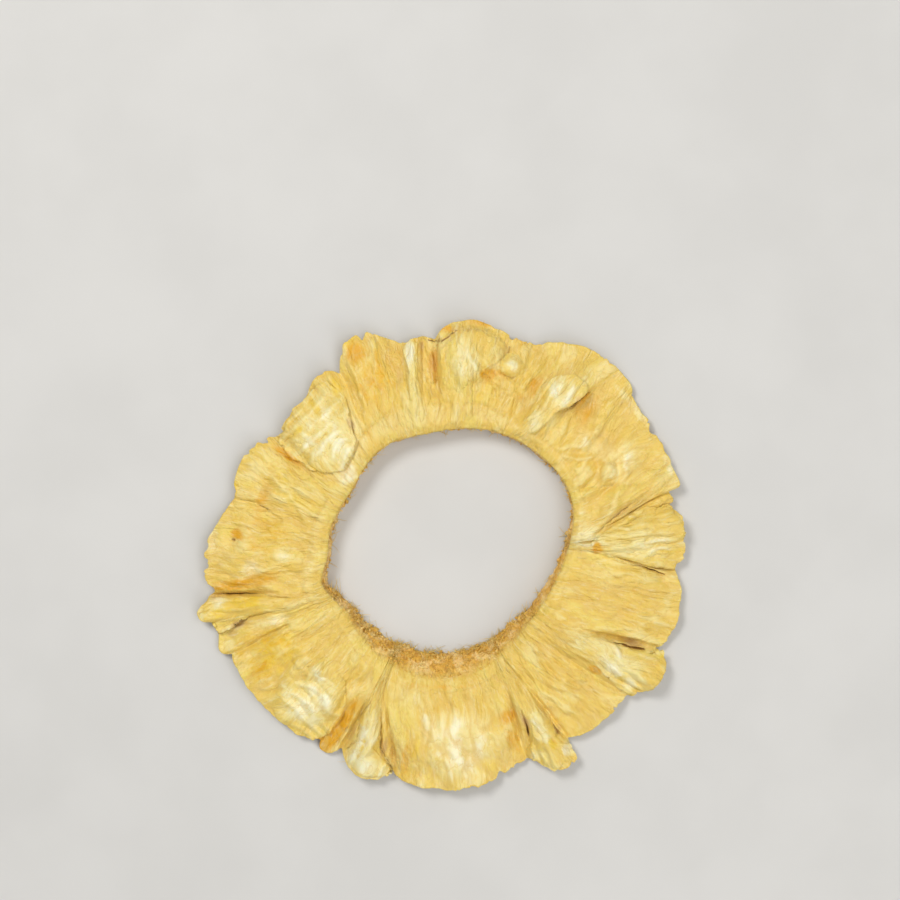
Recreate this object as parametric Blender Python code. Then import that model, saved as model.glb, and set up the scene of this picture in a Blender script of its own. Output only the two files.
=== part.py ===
"""One dried pineapple ring: a cored cross-section slice that has shrunk and wrinkled as it dried.

The ring lies on its flatter face. Angles run anticlockwise from +X, seen from above, and
every size below is in millimetres; the mesh is written in metres.
"""

from collections import namedtuple

import bmesh
import bpy
import numpy as np
from mathutils import Vector, noise

MM = 0.001

# Driving sizes of the slice
HOLE_RADIUS = 20.7
HOLE_OFFSET = (0.5, 2.9)  # the core was cut a little off the slice's centre
BODY_THICKNESS = 5.2
EDGE_THICKNESS = 1.7
LEAST_THICKNESS = 1.1
EDGE_ROUNDING = 0.9
RIM_LIP = 0.5  # a band beside the hole stands this much over the flesh
RIM_LIP_AT = 0.1  # shares of the way from the hole to the outline
RIM_LIP_SPREAD = 0.16
RIM_ROUNDING = 0.6
FOOT_ROUNDING = 0.35

# Columns of the mesh round the ring and its rows across one section
COLUMN_DEGREES = 2.4
SPLIT_COLUMN_DEGREES = 0.8
TOP_ROWS = 13
EDGE_ROWS = 3
UNDER_ROWS = 7
WALL_ROWS = 4

# One lobe of the outline is one cut fruitlet. start: where it begins at the outline, in
# degrees; root: where that same line meets the hole; notch: the outline's radius at its start;
# reach: its largest radius; peak: where that lies along the lobe, from 0 to 1; swell: how much
# it domes; lift: how far its outer edge has curled up; split: how deep the flesh has parted
# along its start
Lobe = namedtuple("Lobe", "start root notch reach peak swell lift split")
LOBES = (
    Lobe(-3.0, 4.0, 42.4, 44.2, 0.72, 0.5, 0.9, 1.1),
    Lobe(13.0, 8.0, 41.4, 43.2, 0.45, 0.1, 0.5, 0.9),
    Lobe(16.5, 10.0, 43.0, 45.2, 0.28, 0.7, 0.6, 1.0),
    Lobe(41.0, 36.0, 43.4, 46.7, 0.27, 0.3, 0.4, 0.2),
    Lobe(66.5, 64.5, 42.0, 43.4, 0.66, 0.5, 0.8, 0.5),
    Lobe(92.0, 91.5, 39.8, 40.2, 0.55, 0.0, 0.3, 0.9),
    Lobe(101.0, 102.0, 39.6, 43.3, 0.56, 0.1, 0.6, 0.6),
    Lobe(119.0, 122.0, 38.2, 40.1, 0.50, 0.0, 0.5, 0.6),
    Lobe(129.0, 131.0, 38.4, 38.2, 0.30, 0.2, 0.9, 0.2),
    Lobe(143.0, 145.0, 36.8, 40.4, 0.52, 0.1, 0.4, 0.8),
    Lobe(165.0, 163.0, 39.6, 43.3, 0.68, 0.6, 0.7, 0.3),
    Lobe(189.5, 193.0, 42.8, 45.9, 0.60, 0.2, 0.8, 1.3),
    Lobe(196.3, 197.5, 43.0, 44.4, 0.75, -0.1, 0.2, 0.5),
    Lobe(205.0, 201.5, 42.2, 42.8, 0.25, 0.7, 0.5, 0.6),
    Lobe(236.5, 231.5, 40.6, 42.4, 0.42, -0.1, 0.1, 0.5),
    Lobe(242.5, 242.0, 40.0, 43.2, 0.52, 0.0, 0.3, 1.3),
    Lobe(257.0, 245.5, 40.6, 42.8, 0.40, 0.9, 0.6, 1.4),
    Lobe(292.5, 297.0, 40.4, 44.9, 0.66, 0.2, 0.5, 0.9),
    Lobe(304.5, 303.0, 40.8, 42.3, 0.62, 0.3, 0.4, 0.7),
    Lobe(322.5, 321.0, 42.2, 45.7, 0.62, 0.5, 0.7, 0.4),
    Lobe(336.8, 331.5, 43.0, 44.4, 0.48, 0.2, 0.3, 1.5),
)
LOBE_FULLNESS = 2.2  # 2 is a round lobe, more is a squarer one
SPLIT_HALF_WIDTH = 0.6
SPLIT_FROM = 0.3  # a split opens between these shares of the way to the outline
SPLIT_FULL = 0.55
SPLIT_SHALLOWS = 0.5  # how much of its depth a split loses again at the outline

# Where the cut round the core wanders from a circle: degrees, depth and half-width in degrees
HOLE_WAVES = (
    (28.0, 3.1, 24.0),
    (60.0, 1.1, 20.0),
    (97.0, -0.9, 14.0),
    (142.0, -1.6, 18.0),
    (192.0, 2.0, 9.0),
    (320.0, -1.3, 30.0),
)
# The wall of the hole leans outward where the rim has shrunk back: angle, lean, half-width
WALL_LEAN_AT = 268.0
WALL_LEAN = 4.3
WALL_LEAN_SPREAD = 52.0
WALL_LEAN_LEAST = 0.35
WALL_HOLLOW = 1.4  # 1 is a straight wall, more is one that is scooped out

# A ridge or, where height is negative, a hollow. It runs from one point to another, each given
# as degrees and radius
Crease = namedtuple("Crease", "name deg_a radius_a deg_b radius_b half_width height")
CREASES = (
    Crease("wedge_rib_low", 5.0, 30.0, 1.0, 43.0, 1.2, 0.4),
    Crease("wedge_rib_high", 7.0, 29.5, 10.5, 42.0, 1.4, 0.6),
    Crease("groove_beside_wedge", 8.5, 28.5, 16.5, 38.0, 1.3, -0.7),
    Crease("fold_beside_wedge", 17.0, 31.0, 20.5, 41.0, 1.3, 0.5),
    Crease("dome_fold", 33.0, 29.0, 38.0, 41.0, 1.3, -0.4),
    Crease("stained_hollow", 46.0, 33.0, 46.5, 42.0, 2.4, -0.7),
    Crease("raised_leaf", 56.0, 30.0, 54.0, 40.5, 2.3, 1.3),
    Crease("leaf_root", 58.5, 26.5, 57.0, 31.0, 1.5, 0.7),
    Crease("groove_beside_leaf", 63.0, 30.0, 61.5, 40.0, 1.4, -0.8),
    Crease("fold_at_seventy", 72.0, 36.5, 68.5, 37.5, 1.5, 0.8),
    Crease("pocket_at_seventy_seven", 78.5, 35.0, 74.5, 35.0, 1.4, -0.8),
    Crease("pad_stem", 80.0, 27.5, 82.0, 38.0, 1.2, 0.6),
    Crease("rough_pit", 93.6, 31.0, 93.4, 39.0, 1.4, -1.2),
    Crease("narrow_strip", 100.5, 28.5, 98.0, 39.5, 1.5, 1.0),
    Crease("flap_side", 148.0, 29.0, 145.5, 38.0, 1.3, -0.6),
    Crease("pocket_at_left", 173.5, 37.5, 174.5, 38.5, 1.5, -0.7),
    Crease("orange_strip", 187.0, 29.0, 186.5, 42.0, 1.5, -0.6),
    Crease("ribbon", 195.3, 28.0, 193.0, 43.0, 1.5, 1.1),
    Crease("sunk_ledge", 199.5, 31.0, 200.5, 43.0, 1.8, -0.9),
    Crease("lobe_fold", 214.0, 30.0, 229.0, 29.5, 1.4, 0.6),
    Crease("smooth_band", 236.0, 27.5, 239.8, 42.0, 1.6, -0.8),
    Crease("left_strand", 244.5, 29.0, 249.5, 42.5, 2.0, 1.2),
    Crease("right_strand", 299.5, 29.0, 299.5, 43.5, 1.9, 1.0),
    Crease("yellow_ridge", 326.0, 28.0, 330.5, 44.0, 2.4, 1.1),
)

# A raised pad or folded-over flap: its middle, half-length along the radius, half-width
# across, height, and how much of its half-size the sloping edge takes
Pad = namedtuple("Pad", "name deg radius half_long half_wide height edge")
PADS = (
    Pad("white_flap", 132.5, 31.2, 7.4, 7.0, 1.6, 0.3),
    Pad("pale_pad", 81.5, 37.2, 4.8, 4.6, 0.9, 0.4),
    Pad("large_lobe_patch", 226.0, 35.0, 6.4, 6.4, 0.6, 0.5),
    Pad("bottom_dome", 275.0, 35.0, 6.0, 9.0, 0.5, 0.6),
)
# A lower ledge shows behind the pale pad, where the edge has split
LEDGE_AT = 82.0
LEDGE_SPREAD = 8.0
LEDGE_DEPTH = 1.3
LEDGE_RADIUS = 41.4
LEDGE_SLOPE = 1.5

# Loose unevenness of the whole slice
WARP = 0.45
WARP_SIZE = 17.0
WRINKLE = 0.28
UNDER_WRINKLE = 0.35
WRINKLE_SIZE = 4.2
EDGE_TATTER = 0.35
EDGE_TATTER_SIZE = 2.2
SEED_OFFSET = 37.0

# The underside curls up at the outline, more than the top does, and is pressed flat by the
# drying rack wherever it would hang lower than the cut
UNDER_CURL = 1.6
REST_CUT = 0.05

FLESH_COLOUR = (0.79, 0.55, 0.19, 1.0)


def around(angle, middle):
    """Signed degrees from middle to angle, the short way round."""
    return (angle - middle + 180.0) % 360.0 - 180.0


def bell(distance, half_width):
    return np.exp(-((distance / half_width) ** 2))


def ramp(value, low, high):
    """0 below low, 1 above high, smooth between."""
    t = np.clip((value - low) / (high - low), 0.0, 1.0)
    return t * t * (3.0 - 2.0 * t)


def uneven(points, size, seed):
    """Smooth unevenness from -1 to 1 at each point, with features about size across."""
    flat = points.reshape(-1, 3) / size + SEED_OFFSET * seed
    values = np.array([noise.noise(Vector(p)) for p in flat])
    return values.reshape(points.shape[:-1])


def columns():
    """For each column of the mesh: its angle at the outline and at the hole, the outline's
    radius, its share of its lobe's swell and lift, and how deep it lies in a split."""
    found = []
    for lobe, following in zip(LOBES, LOBES[1:] + LOBES[:1]):
        width = (following.start - lobe.start) % 360.0
        root_width = (following.root - lobe.root) % 360.0
        inner = width - 2.0 * SPLIT_COLUMN_DEGREES
        count = max(1, round(inner / COLUMN_DEGREES))
        steps = [0.0] + [SPLIT_COLUMN_DEGREES + inner * k / count for k in range(count + 1)]
        skew = np.log(0.5) / np.log(lobe.peak)
        for step in steps:
            along = step / width
            crown = 1.0 - abs(2.0 * along**skew - 1.0) ** LOBE_FULLNESS
            notch = lobe.notch + (following.notch - lobe.notch) * along
            gap, depth = (step, lobe.split) if along < 0.5 else (width - step, following.split)
            found.append(
                (
                    lobe.start + step,
                    lobe.root + root_width * along,
                    notch + (lobe.reach - notch) * crown,
                    lobe.swell * crown,
                    lobe.lift * crown,
                    depth * bell(np.radians(gap) * notch, SPLIT_HALF_WIDTH),
                )
            )
    return [np.array(values) for values in zip(*found)]


def hole_radius(angle):
    """Radius of the hole's foot about its own centre."""
    return HOLE_RADIUS + sum(depth * bell(around(angle, at), spread) for at, depth, spread in HOLE_WAVES)


def from_slice_centre(angle, radius):
    """Distance from the slice's centre, in direction angle, of a circle about the hole's centre."""
    direction = np.radians(angle)
    along = HOLE_OFFSET[0] * np.cos(direction) + HOLE_OFFSET[1] * np.sin(direction)
    aside = HOLE_OFFSET[1] * np.cos(direction) - HOLE_OFFSET[0] * np.sin(direction)
    return along + np.sqrt(radius**2 - aside**2)


def wall_lean(angle):
    return WALL_LEAN_LEAST + WALL_LEAN * bell(around(angle, WALL_LEAN_AT), WALL_LEAN_SPREAD)


def crease_relief(x, y):
    """Height that all ridges and splits add at each point."""
    height = np.zeros_like(x)
    for c in CREASES:
        ends = np.radians([c.deg_a, c.deg_b])
        a = np.array([np.cos(ends[0]), np.sin(ends[0])]) * c.radius_a
        b = np.array([np.cos(ends[1]), np.sin(ends[1])]) * c.radius_b
        run = b - a
        share = ((x - a[0]) * run[0] + (y - a[1]) * run[1]) / (run @ run)
        held = np.clip(share, 0.0, 1.0)
        gap = np.hypot(x - a[0] - held * run[0], y - a[1] - held * run[1])
        height += c.height * bell(gap, c.half_width)
    return height


def pad_relief(x, y):
    """Height that the raised pads add at each point."""
    height = np.zeros_like(x)
    for p in PADS:
        turn = np.radians(p.deg)
        along = x * np.cos(turn) + y * np.sin(turn) - p.radius
        across = y * np.cos(turn) - x * np.sin(turn)
        distance = np.hypot(along / p.half_long, across / p.half_wide)
        height += p.height * (1.0 - ramp(distance, 1.0 - p.edge, 1.0 + 0.3 * p.edge))
    return height


def plan_point(angle, radius):
    """Points at height zero."""
    direction = np.radians(angle)
    return np.stack([radius * np.cos(direction), radius * np.sin(direction), 0.0 * radius], axis=-1)


def warp(plan):
    """The slow waves that both faces share."""
    return WARP * uneven(plan, WARP_SIZE, 1)


def top_height(plan, share, swell, lift, split):
    """Height of the upper face. share runs from 0 at the hole's rim to 1 at the outline."""
    x, y = plan[..., 0], plan[..., 1]
    taper = BODY_THICKNESS - (BODY_THICKNESS - EDGE_THICKNESS) * ramp(share, 0.35, 1.15)
    lip = RIM_LIP * bell(share - RIM_LIP_AT, RIM_LIP_SPREAD) - RIM_ROUNDING * bell(share, 0.05)
    relief = crease_relief(x, y) + pad_relief(x, y) + WRINKLE * uneven(plan, WRINKLE_SIZE, 2)
    behind_pad = bell(around(np.degrees(np.arctan2(y, x)), LEDGE_AT), LEDGE_SPREAD)
    ledge = LEDGE_DEPTH * behind_pad * ramp(np.hypot(x, y), LEDGE_RADIUS, LEDGE_RADIUS + LEDGE_SLOPE)
    crown = swell * ramp(share, 0.1, 0.55) + lift * share**2
    parted = split * ramp(share, SPLIT_FROM, SPLIT_FULL) * (1.0 - SPLIT_SHALLOWS * ramp(share, 0.8, 1.0))
    return taper + lip + relief * ramp(share, -0.05, 0.12) + crown - ledge - parted + warp(plan)


def under_height(plan, share, lift):
    """Height of the lower face, which is flat where it rests."""
    curl = lift * UNDER_CURL * ramp(share, 0.45, 1.1)
    free = warp(plan) + UNDER_WRINKLE * uneven(plan, WRINKLE_SIZE, 3) + curl
    return np.maximum(free, REST_CUT) - REST_CUT


def section_rows():
    """All the ring's points, one row after another round each section, from the hole's rim
    over the top, down the outline, back underneath and up the hole's wall."""
    at_outline, at_hole, outline, swell, lift, split = columns()
    outline = outline + EDGE_TATTER * uneven(plan_point(at_outline, outline), EDGE_TATTER_SIZE, 4)
    foot = from_slice_centre(at_hole, hole_radius(at_hole))
    rim = foot + wall_lean(at_hole)

    def fanned(share):
        """The columns' angles this share of the way from the hole to the outline."""
        return at_hole + (at_outline - at_hole) * ramp(share, 0.0, 1.0)

    top = []
    for share in np.linspace(0.0, 1.0, TOP_ROWS):
        plan = plan_point(fanned(share), rim + (outline - 0.45 * EDGE_ROUNDING - rim) * share)
        plan[:, 2] = top_height(plan, share, swell, lift, split)
        top.append(plan)

    under = []
    for share in np.linspace(1.0, 0.0, UNDER_ROWS):
        inner = foot + FOOT_ROUNDING
        plan = plan_point(fanned(share), inner + (outline - EDGE_ROUNDING - inner) * share)
        plan[:, 2] = under_height(plan, share, lift)
        under.append(plan)

    # The outline is no thinner than a crisp skin
    lower = under[0][:, 2]
    top[-1][:, 2] = np.maximum(top[-1][:, 2] - 0.25 * EDGE_ROUNDING, lower + LEAST_THICKNESS)
    top[-2][:, 2] = np.maximum(top[-2][:, 2], under[1][:, 2] + LEAST_THICKNESS)
    edge = []
    for k in range(1, EDGE_ROWS + 1):
        share = k / (EDGE_ROWS + 1)
        plan = plan_point(at_outline, outline - 0.3 * EDGE_ROUNDING * (2 * share - 1) ** 2)
        plan[:, 2] = top[-1][:, 2] + (lower - top[-1][:, 2]) * share
        edge.append(plan)

    wall = []
    foot_height = under[-1][:, 2] + FOOT_ROUNDING
    for k in range(WALL_ROWS):
        share = k / WALL_ROWS
        plan = plan_point(at_hole, foot + (rim - foot) * share**WALL_HOLLOW)
        plan[:, 2] = foot_height + (top[0][:, 2] - foot_height) * share
        wall.append(plan)
    return np.stack(top + edge + under + wall)


def ring_mesh(points):
    """Closes the rows of points into one skin."""
    rows, columns, _ = points.shape
    bm = bmesh.new()
    grid = [[bm.verts.new(points[r, c] * MM) for c in range(columns)] for r in range(rows)]
    for r in range(rows):
        above, below = grid[r], grid[(r + 1) % rows]
        for c in range(columns):
            after = (c + 1) % columns
            bm.faces.new((above[c], below[c], below[after], above[after]))
    bmesh.ops.recalc_face_normals(bm, faces=bm.faces)
    mesh = bpy.data.meshes.new("pineapple_ring")
    bm.to_mesh(mesh)
    bm.free()
    mesh.shade_smooth()
    return mesh


def flesh_material():
    material = bpy.data.materials.new("dried_flesh")
    material.use_nodes = True
    shader = material.node_tree.nodes["Principled BSDF"]
    shader.inputs["Base Color"].default_value = FLESH_COLOUR
    shader.inputs["Roughness"].default_value = 0.6
    return material


def main():
    for obj in list(bpy.data.objects):
        bpy.data.objects.remove(obj, do_unlink=True)
    points = section_rows()
    low, high = points.min(axis=(0, 1)), points.max(axis=(0, 1))
    points -= np.array([(low[0] + high[0]) / 2, (low[1] + high[1]) / 2, low[2]])
    ring = bpy.data.objects.new("pineapple_ring", ring_mesh(points))
    ring.data.materials.append(flesh_material())
    bpy.context.scene.collection.objects.link(ring)


main()
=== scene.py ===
import math
from collections import namedtuple

import bpy
import numpy as np
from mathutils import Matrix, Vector, noise


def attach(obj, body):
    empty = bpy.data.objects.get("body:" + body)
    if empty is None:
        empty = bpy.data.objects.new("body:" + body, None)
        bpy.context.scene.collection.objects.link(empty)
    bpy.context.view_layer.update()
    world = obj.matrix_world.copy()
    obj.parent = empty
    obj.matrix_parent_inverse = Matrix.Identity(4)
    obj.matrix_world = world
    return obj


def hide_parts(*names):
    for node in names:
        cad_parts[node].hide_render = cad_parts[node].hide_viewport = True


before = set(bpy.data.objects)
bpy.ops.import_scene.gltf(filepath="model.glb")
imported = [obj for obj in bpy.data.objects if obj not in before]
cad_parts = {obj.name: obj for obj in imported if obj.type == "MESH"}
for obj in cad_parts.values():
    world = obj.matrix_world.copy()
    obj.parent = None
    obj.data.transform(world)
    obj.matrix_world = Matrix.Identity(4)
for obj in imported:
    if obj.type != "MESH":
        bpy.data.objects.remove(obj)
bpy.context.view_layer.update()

# A dried pineapple ring: wrinkled, fibrous flesh with folded flaps and loose strands, a crumbly
# wall where the core was cut out, and a ragged outline. Sizes are in millimetres and angles in
# degrees, anticlockwise from +X as seen from above, about the slice's own centre.

MM = 0.001
SLICE_CENTRE = (0.418, -0.095)

# The slice, as it was cut and as it dried
HOLE_RADIUS = 20.7
HOLE_OFFSET = (0.5, 2.9)
BODY_THICKNESS = 5.2
EDGE_THICKNESS = 1.7
LEAST_THICKNESS = 0.45
EDGE_LEFT = 0.5
EDGE_DROP = 0.25
UNDERCUT_FROM = 0.7
EDGE_ROUNDING = 0.9
RIM_LIP = 0.5
RIM_ROUNDING = 0.6
LIP_WIDTH = 2.0
LIP_WIDER = ((182.0, 1.9, 28.0), (98.0, 3.4, 30.0))
LIP_LINE = 0.5
LIP_FLUTES = 0.3
FOOT_ROUNDING = 0.35

# The flesh's mesh: columns round the ring, and rows of each stretch of its section
COLUMNS = 1150
EDGE_ROWS = 4
TOP_ROWS = 50
WALL_ROWS = 14
UNDER_ROWS = 14
THIN_ROWS = 6
SEAM_GAP = 1e-7
CROWDING = 0.8
CROWD_SPREAD = 1.3

Lobe = namedtuple("Lobe", "start root notch reach peak swell lift split")
LOBES = (
    Lobe(-3.0, 4.0, 42.4, 44.2, 0.72, 0.5, 0.9, 1.1),
    Lobe(13.0, 8.0, 41.4, 43.2, 0.45, 0.1, 0.5, 0.6),
    Lobe(16.5, 10.0, 43.0, 45.0, 0.12, 0.5, 0.5, 0.5),
    Lobe(41.0, 36.0, 45.0, 46.7, 0.30, 0.0, 0.15, 0.0),
    Lobe(66.5, 64.5, 42.0, 43.4, 0.66, 0.5, 0.8, 0.5),
    Lobe(92.0, 91.5, 39.8, 40.2, 0.55, 0.0, 0.3, 0.9),
    Lobe(101.0, 102.0, 39.6, 43.3, 0.56, 0.1, 0.6, 0.6),
    Lobe(119.0, 122.0, 38.2, 40.1, 0.50, 0.0, 0.5, 0.6),
    Lobe(129.0, 131.0, 38.4, 38.2, 0.30, 0.2, 0.9, 0.2),
    Lobe(143.0, 145.0, 36.8, 40.4, 0.52, 0.1, 0.4, 0.8),
    Lobe(165.0, 163.0, 39.6, 43.3, 0.68, 0.6, 0.7, 0.3),
    Lobe(189.5, 193.0, 42.8, 45.9, 0.60, 0.1, 0.6, 1.0),
    Lobe(196.3, 197.5, 43.0, 44.4, 0.75, -0.1, 0.2, 0.5),
    Lobe(205.0, 201.5, 42.2, 42.8, 0.25, 0.7, 0.5, 0.6),
    Lobe(236.5, 231.5, 40.6, 42.4, 0.42, -0.1, 0.1, 0.5),
    Lobe(242.5, 242.0, 40.0, 43.2, 0.52, 0.0, 0.3, 1.3),
    Lobe(257.0, 245.5, 40.6, 42.8, 0.40, 0.9, 0.6, 0.9),
    Lobe(292.5, 297.0, 40.4, 44.9, 0.66, 0.2, 0.5, 0.9),
    Lobe(304.5, 303.0, 40.8, 42.3, 0.62, 0.3, 0.4, 0.7),
    Lobe(322.5, 321.0, 42.2, 45.7, 0.62, 0.5, 0.7, 0.4),
    Lobe(336.8, 331.5, 43.0, 44.4, 0.48, 0.2, 0.3, 1.5),
)
LOBE_FULLNESS = 2.2
SPLIT_HALF_WIDTH = 0.5

HOLE_WAVES = (
    (28.0, 3.1, 24.0),
    (60.0, 1.1, 20.0),
    (97.0, -0.9, 14.0),
    (142.0, -1.6, 18.0),
    (192.0, 2.0, 9.0),
    (320.0, -1.3, 30.0),
)
WALL_LEAN_AT = 268.0
WALL_LEAN = 4.3
WALL_LEAN_SPREAD = 52.0
WALL_LEAN_LEAST = 0.35
WALL_HOLLOW = 1.4
WALL_TEARS = 0.34
WALL_CRUMBLE = 0.26
WALL_WAVES = 0.5
WALL_PITS = 0.3
CORE_TINT = 0.16

# Ridges, and hollows where the height is negative: from one angle and radius to another
Crease = namedtuple("Crease", "deg_a radius_a deg_b radius_b half_width height")
CREASES = (
    Crease(5.0, 30.0, 1.0, 43.0, 1.2, 0.4),
    Crease(7.0, 29.5, 10.5, 42.0, 1.4, 0.6),
    Crease(8.5, 28.5, 16.5, 38.0, 1.2, -0.4),
    Crease(17.0, 31.0, 20.5, 41.0, 1.3, 0.5),
    Crease(33.0, 29.0, 38.0, 41.0, 1.3, -0.4),
    Crease(46.5, 34.0, 46.0, 41.0, 2.0, -0.5),
    Crease(56.0, 30.0, 54.0, 40.5, 2.3, 1.3),
    Crease(58.5, 26.5, 57.0, 31.0, 1.5, 0.7),
    Crease(63.0, 30.0, 61.5, 40.0, 1.4, -0.8),
    Crease(72.0, 36.5, 68.5, 37.5, 1.5, 0.8),
    Crease(78.5, 35.0, 74.5, 35.0, 1.4, -0.8),
    Crease(80.0, 27.5, 82.0, 38.0, 1.2, 0.6),
    Crease(93.6, 31.0, 93.4, 39.0, 1.4, -1.2),
    Crease(100.5, 28.5, 98.0, 39.5, 1.5, 1.0),
    Crease(148.0, 29.0, 145.5, 38.0, 1.3, -0.6),
    Crease(173.5, 37.5, 174.5, 38.5, 1.5, -0.7),
    Crease(187.0, 29.0, 186.5, 42.0, 1.5, -0.6),
    Crease(195.3, 28.0, 193.0, 43.0, 1.5, 0.25),
    Crease(199.5, 31.0, 200.5, 43.0, 1.6, -0.7),
    Crease(214.0, 30.0, 229.0, 29.5, 1.4, 0.6),
    Crease(236.0, 27.5, 239.8, 42.0, 1.6, -0.8),
    Crease(244.5, 29.0, 249.5, 42.5, 2.0, 1.2),
    Crease(299.5, 29.0, 299.5, 43.5, 1.9, 1.0),
    Crease(326.0, 28.0, 330.5, 44.0, 2.4, 1.1),
)

Pad = namedtuple("Pad", "deg radius half_long half_wide height edge")
PADS = (
    Pad(132.5, 31.2, 7.4, 7.0, 0.5, 0.3),
    Pad(81.5, 37.2, 4.8, 4.6, 0.9, 0.4),
    Pad(226.0, 35.0, 6.4, 6.4, 0.6, 0.5),
    Pad(275.0, 35.0, 6.0, 9.0, 0.5, 0.6),
)
LEDGE_AT = 82.0
LEDGE_SPREAD = 8.0
LEDGE_DEPTH = 1.3
LEDGE_RADIUS = 41.4
LEDGE_SLOPE = 1.5

# Thin cracks where the flesh has torn. Each follows its points, as degrees, radius and depth there,
# and the side that step is positive for, on the right going along it, stands over the other
Crack = namedtuple("Crack", "points half_width step")
CRACKS = (
    Crack(((3.0, 27.5, 0.2), (358.7, 34.0, 0.5), (356.6, 38.5, 1.4), (355.4, 40.5, 0.9)), 0.2, -0.4),
    Crack(((8.0, 27.8, 0.3), (12.0, 30.0, 0.5), (15.5, 34.0, 0.8), (17.6, 37.8, 0.5)), 0.2, 0.3),
    Crack(((48.8, 40.6, 0.5), (49.2, 38.6, 1.0), (50.2, 36.0, 0.9), (52.6, 33.4, 0.3),
           (51.0, 29.0, 0.1)), 0.18, 0.3),
    Crack(((59.4, 39.0, 0.3), (60.2, 36.4, 0.6), (60.6, 33.5, 0.2)), 0.2, 0.2),
    Crack(((91.0, 39.8, 1.0), (91.6, 36.5, 0.5), (92.0, 32.0, 0.2)), 0.2, -0.3),
    Crack(((93.6, 39.6, 1.4), (90.6, 39.2, 1.2), (87.6, 40.6, 1.1), (85.6, 41.8, 0.7), (82.4, 42.2, 0.5),
           (79.0, 42.1, 0.5), (75.8, 41.3, 0.6), (74.0, 40.4, 0.3)), 0.22, 0.5),
    Crack(((94.8, 32.6, 0.4), (93.4, 31.6, 0.8), (91.6, 32.2, 0.4)), 0.18, 0.1),
    Crack(((95.4, 39.2, 0.9), (95.8, 35.5, 0.4), (96.8, 31.0, 0.2)), 0.2, 0.2),
    Crack(((144.4, 37.6, 0.4), (146.4, 33.0, 0.4), (145.5, 28.2, 0.2), (141.0, 24.8, 0.1)), 0.25, -0.2),
    Crack(((189.5, 42.6, 0.4), (189.8, 40.4, 1.3), (190.2, 37.6, 1.2), (191.2, 33.5, 0.6),
           (193.4, 29.0, 0.1)), 0.18, -0.3),
    Crack(((199.0, 43.2, 0.4), (198.4, 41.0, 0.5), (197.3, 38.0, 0.6), (196.5, 37.0, 0.3)), 0.25, -0.3),
    Crack(((240.0, 41.0, 0.5), (241.0, 36.5, 0.4), (238.6, 31.0, 0.2)), 0.2, -0.2),
    Crack(((243.4, 39.8, 0.7), (245.0, 36.9, 0.4), (242.6, 33.0, 0.4), (243.0, 29.5, 0.1)), 0.22, -0.3),
    Crack(((248.0, 29.8, 0.3), (250.4, 33.0, 0.7), (252.2, 36.8, 1.0), (257.2, 40.9, 0.7)), 0.22, -0.4),
    Crack(((297.6, 31.0, 0.3), (297.0, 33.5, 0.8), (296.2, 35.4, 1.5), (295.6, 36.8, 0.5),
           (293.2, 40.2, 0.2)), 0.22, -0.3),
    Crack(((303.8, 33.0, 0.2), (303.3, 37.9, 1.1), (304.4, 40.6, 0.4)), 0.22, 0.3),
    Crack(((333.8, 31.7, 0.3), (334.2, 36.0, 1.1), (334.8, 38.8, 1.4), (335.4, 40.4, 1.3),
           (336.0, 41.4, 0.3)), 0.17, 0.4),
    Crack(((105.5, 23.5, 0.3), (106.5, 26.5, 0.2)), 0.16, 0.1),
    Crack(((107.5, 34.5, 0.4), (108.6, 36.5, 0.3)), 0.18, 0.1),
    Crack(((72.0, 31.5, 0.3), (75.5, 34.0, 0.6), (79.0, 34.8, 0.5)), 0.2, 0.3),
    Crack(((71.9, 38.6, 0.3), (72.3, 40.0, 0.7), (74.0, 40.6, 0.5)), 0.18, 0.1),
    Crack(((81.6, 36.9, 0.4), (80.4, 32.0, 0.3), (78.7, 27.5, 0.2)), 0.18, 0.2),
    Crack(((309.0, 24.0, 0.3), (313.5, 29.5, 0.3), (316.0, 33.5, 0.2)), 0.2, 0.3),
    Crack(((315.5, 24.0, 0.3), (319.0, 30.0, 0.3)), 0.2, 0.25),
    Crack(((166.0, 30.0, 0.3), (163.0, 35.0, 0.4), (164.0, 39.6, 0.6)), 0.2, 0.3),
    Crack(((202.7, 31.1, 0.3), (209.2, 30.3, 0.5), (211.4, 30.0, 0.3)), 0.2, 0.25),
    Crack(((28.0, 27.0, 0.3), (24.0, 33.0, 0.3), (21.0, 38.0, 0.2)), 0.2, 0.25),
)
Hole = namedtuple("Hole", "deg radius half_width depth")
PIN_HOLES = (
    Hole(164.3, 40.2, 0.45, 1.6),
    Hole(175.0, 37.8, 0.4, 1.1),
    Hole(125.2, 28.8, 0.35, 0.8),
    Hole(303.2, 38.2, 0.4, 1.0),
    Hole(335.3, 42.2, 0.3, 0.8),
)

FOLD_HEIGHT = 6.2
FOLD_ROOM = 1.1
CRACK_REACH = 1.3
CRACK_FADE = 1.0
CRACK_STRAY = 0.22
CRACK_STRAY_SIZE = 1.3
LOW_SIDE = 0.4

# Loose unevenness
WARP = 0.45
WARP_SIZE = 17.0
WRINKLE = 0.28
UNDER_WRINKLE = 0.35
WRINKLE_SIZE = 4.2
EDGE_TATTER = 0.35
EDGE_TATTER_SIZE = 2.2
SEED_OFFSET = 37.0
UNDER_CURL = 1.6
REST_CUT = 0.05

# How high each kind of wrinkle stands on the flesh
SWELLS = 0.6
FOLDS = 0.34
PLEATS = 0.26
CRUMPLES = 0.2
SMALL_WRINKLES = 0.09
RIBS = 0.05
RIBS_WHERE_RIBBED = 0.2
CROSS_FOLDS = 0.36

# Fibres run out from the hole, so their noise is stretched along the radius
GRAIN_RADIUS = 34.0
GRAIN_STRETCH = 5.0

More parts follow.
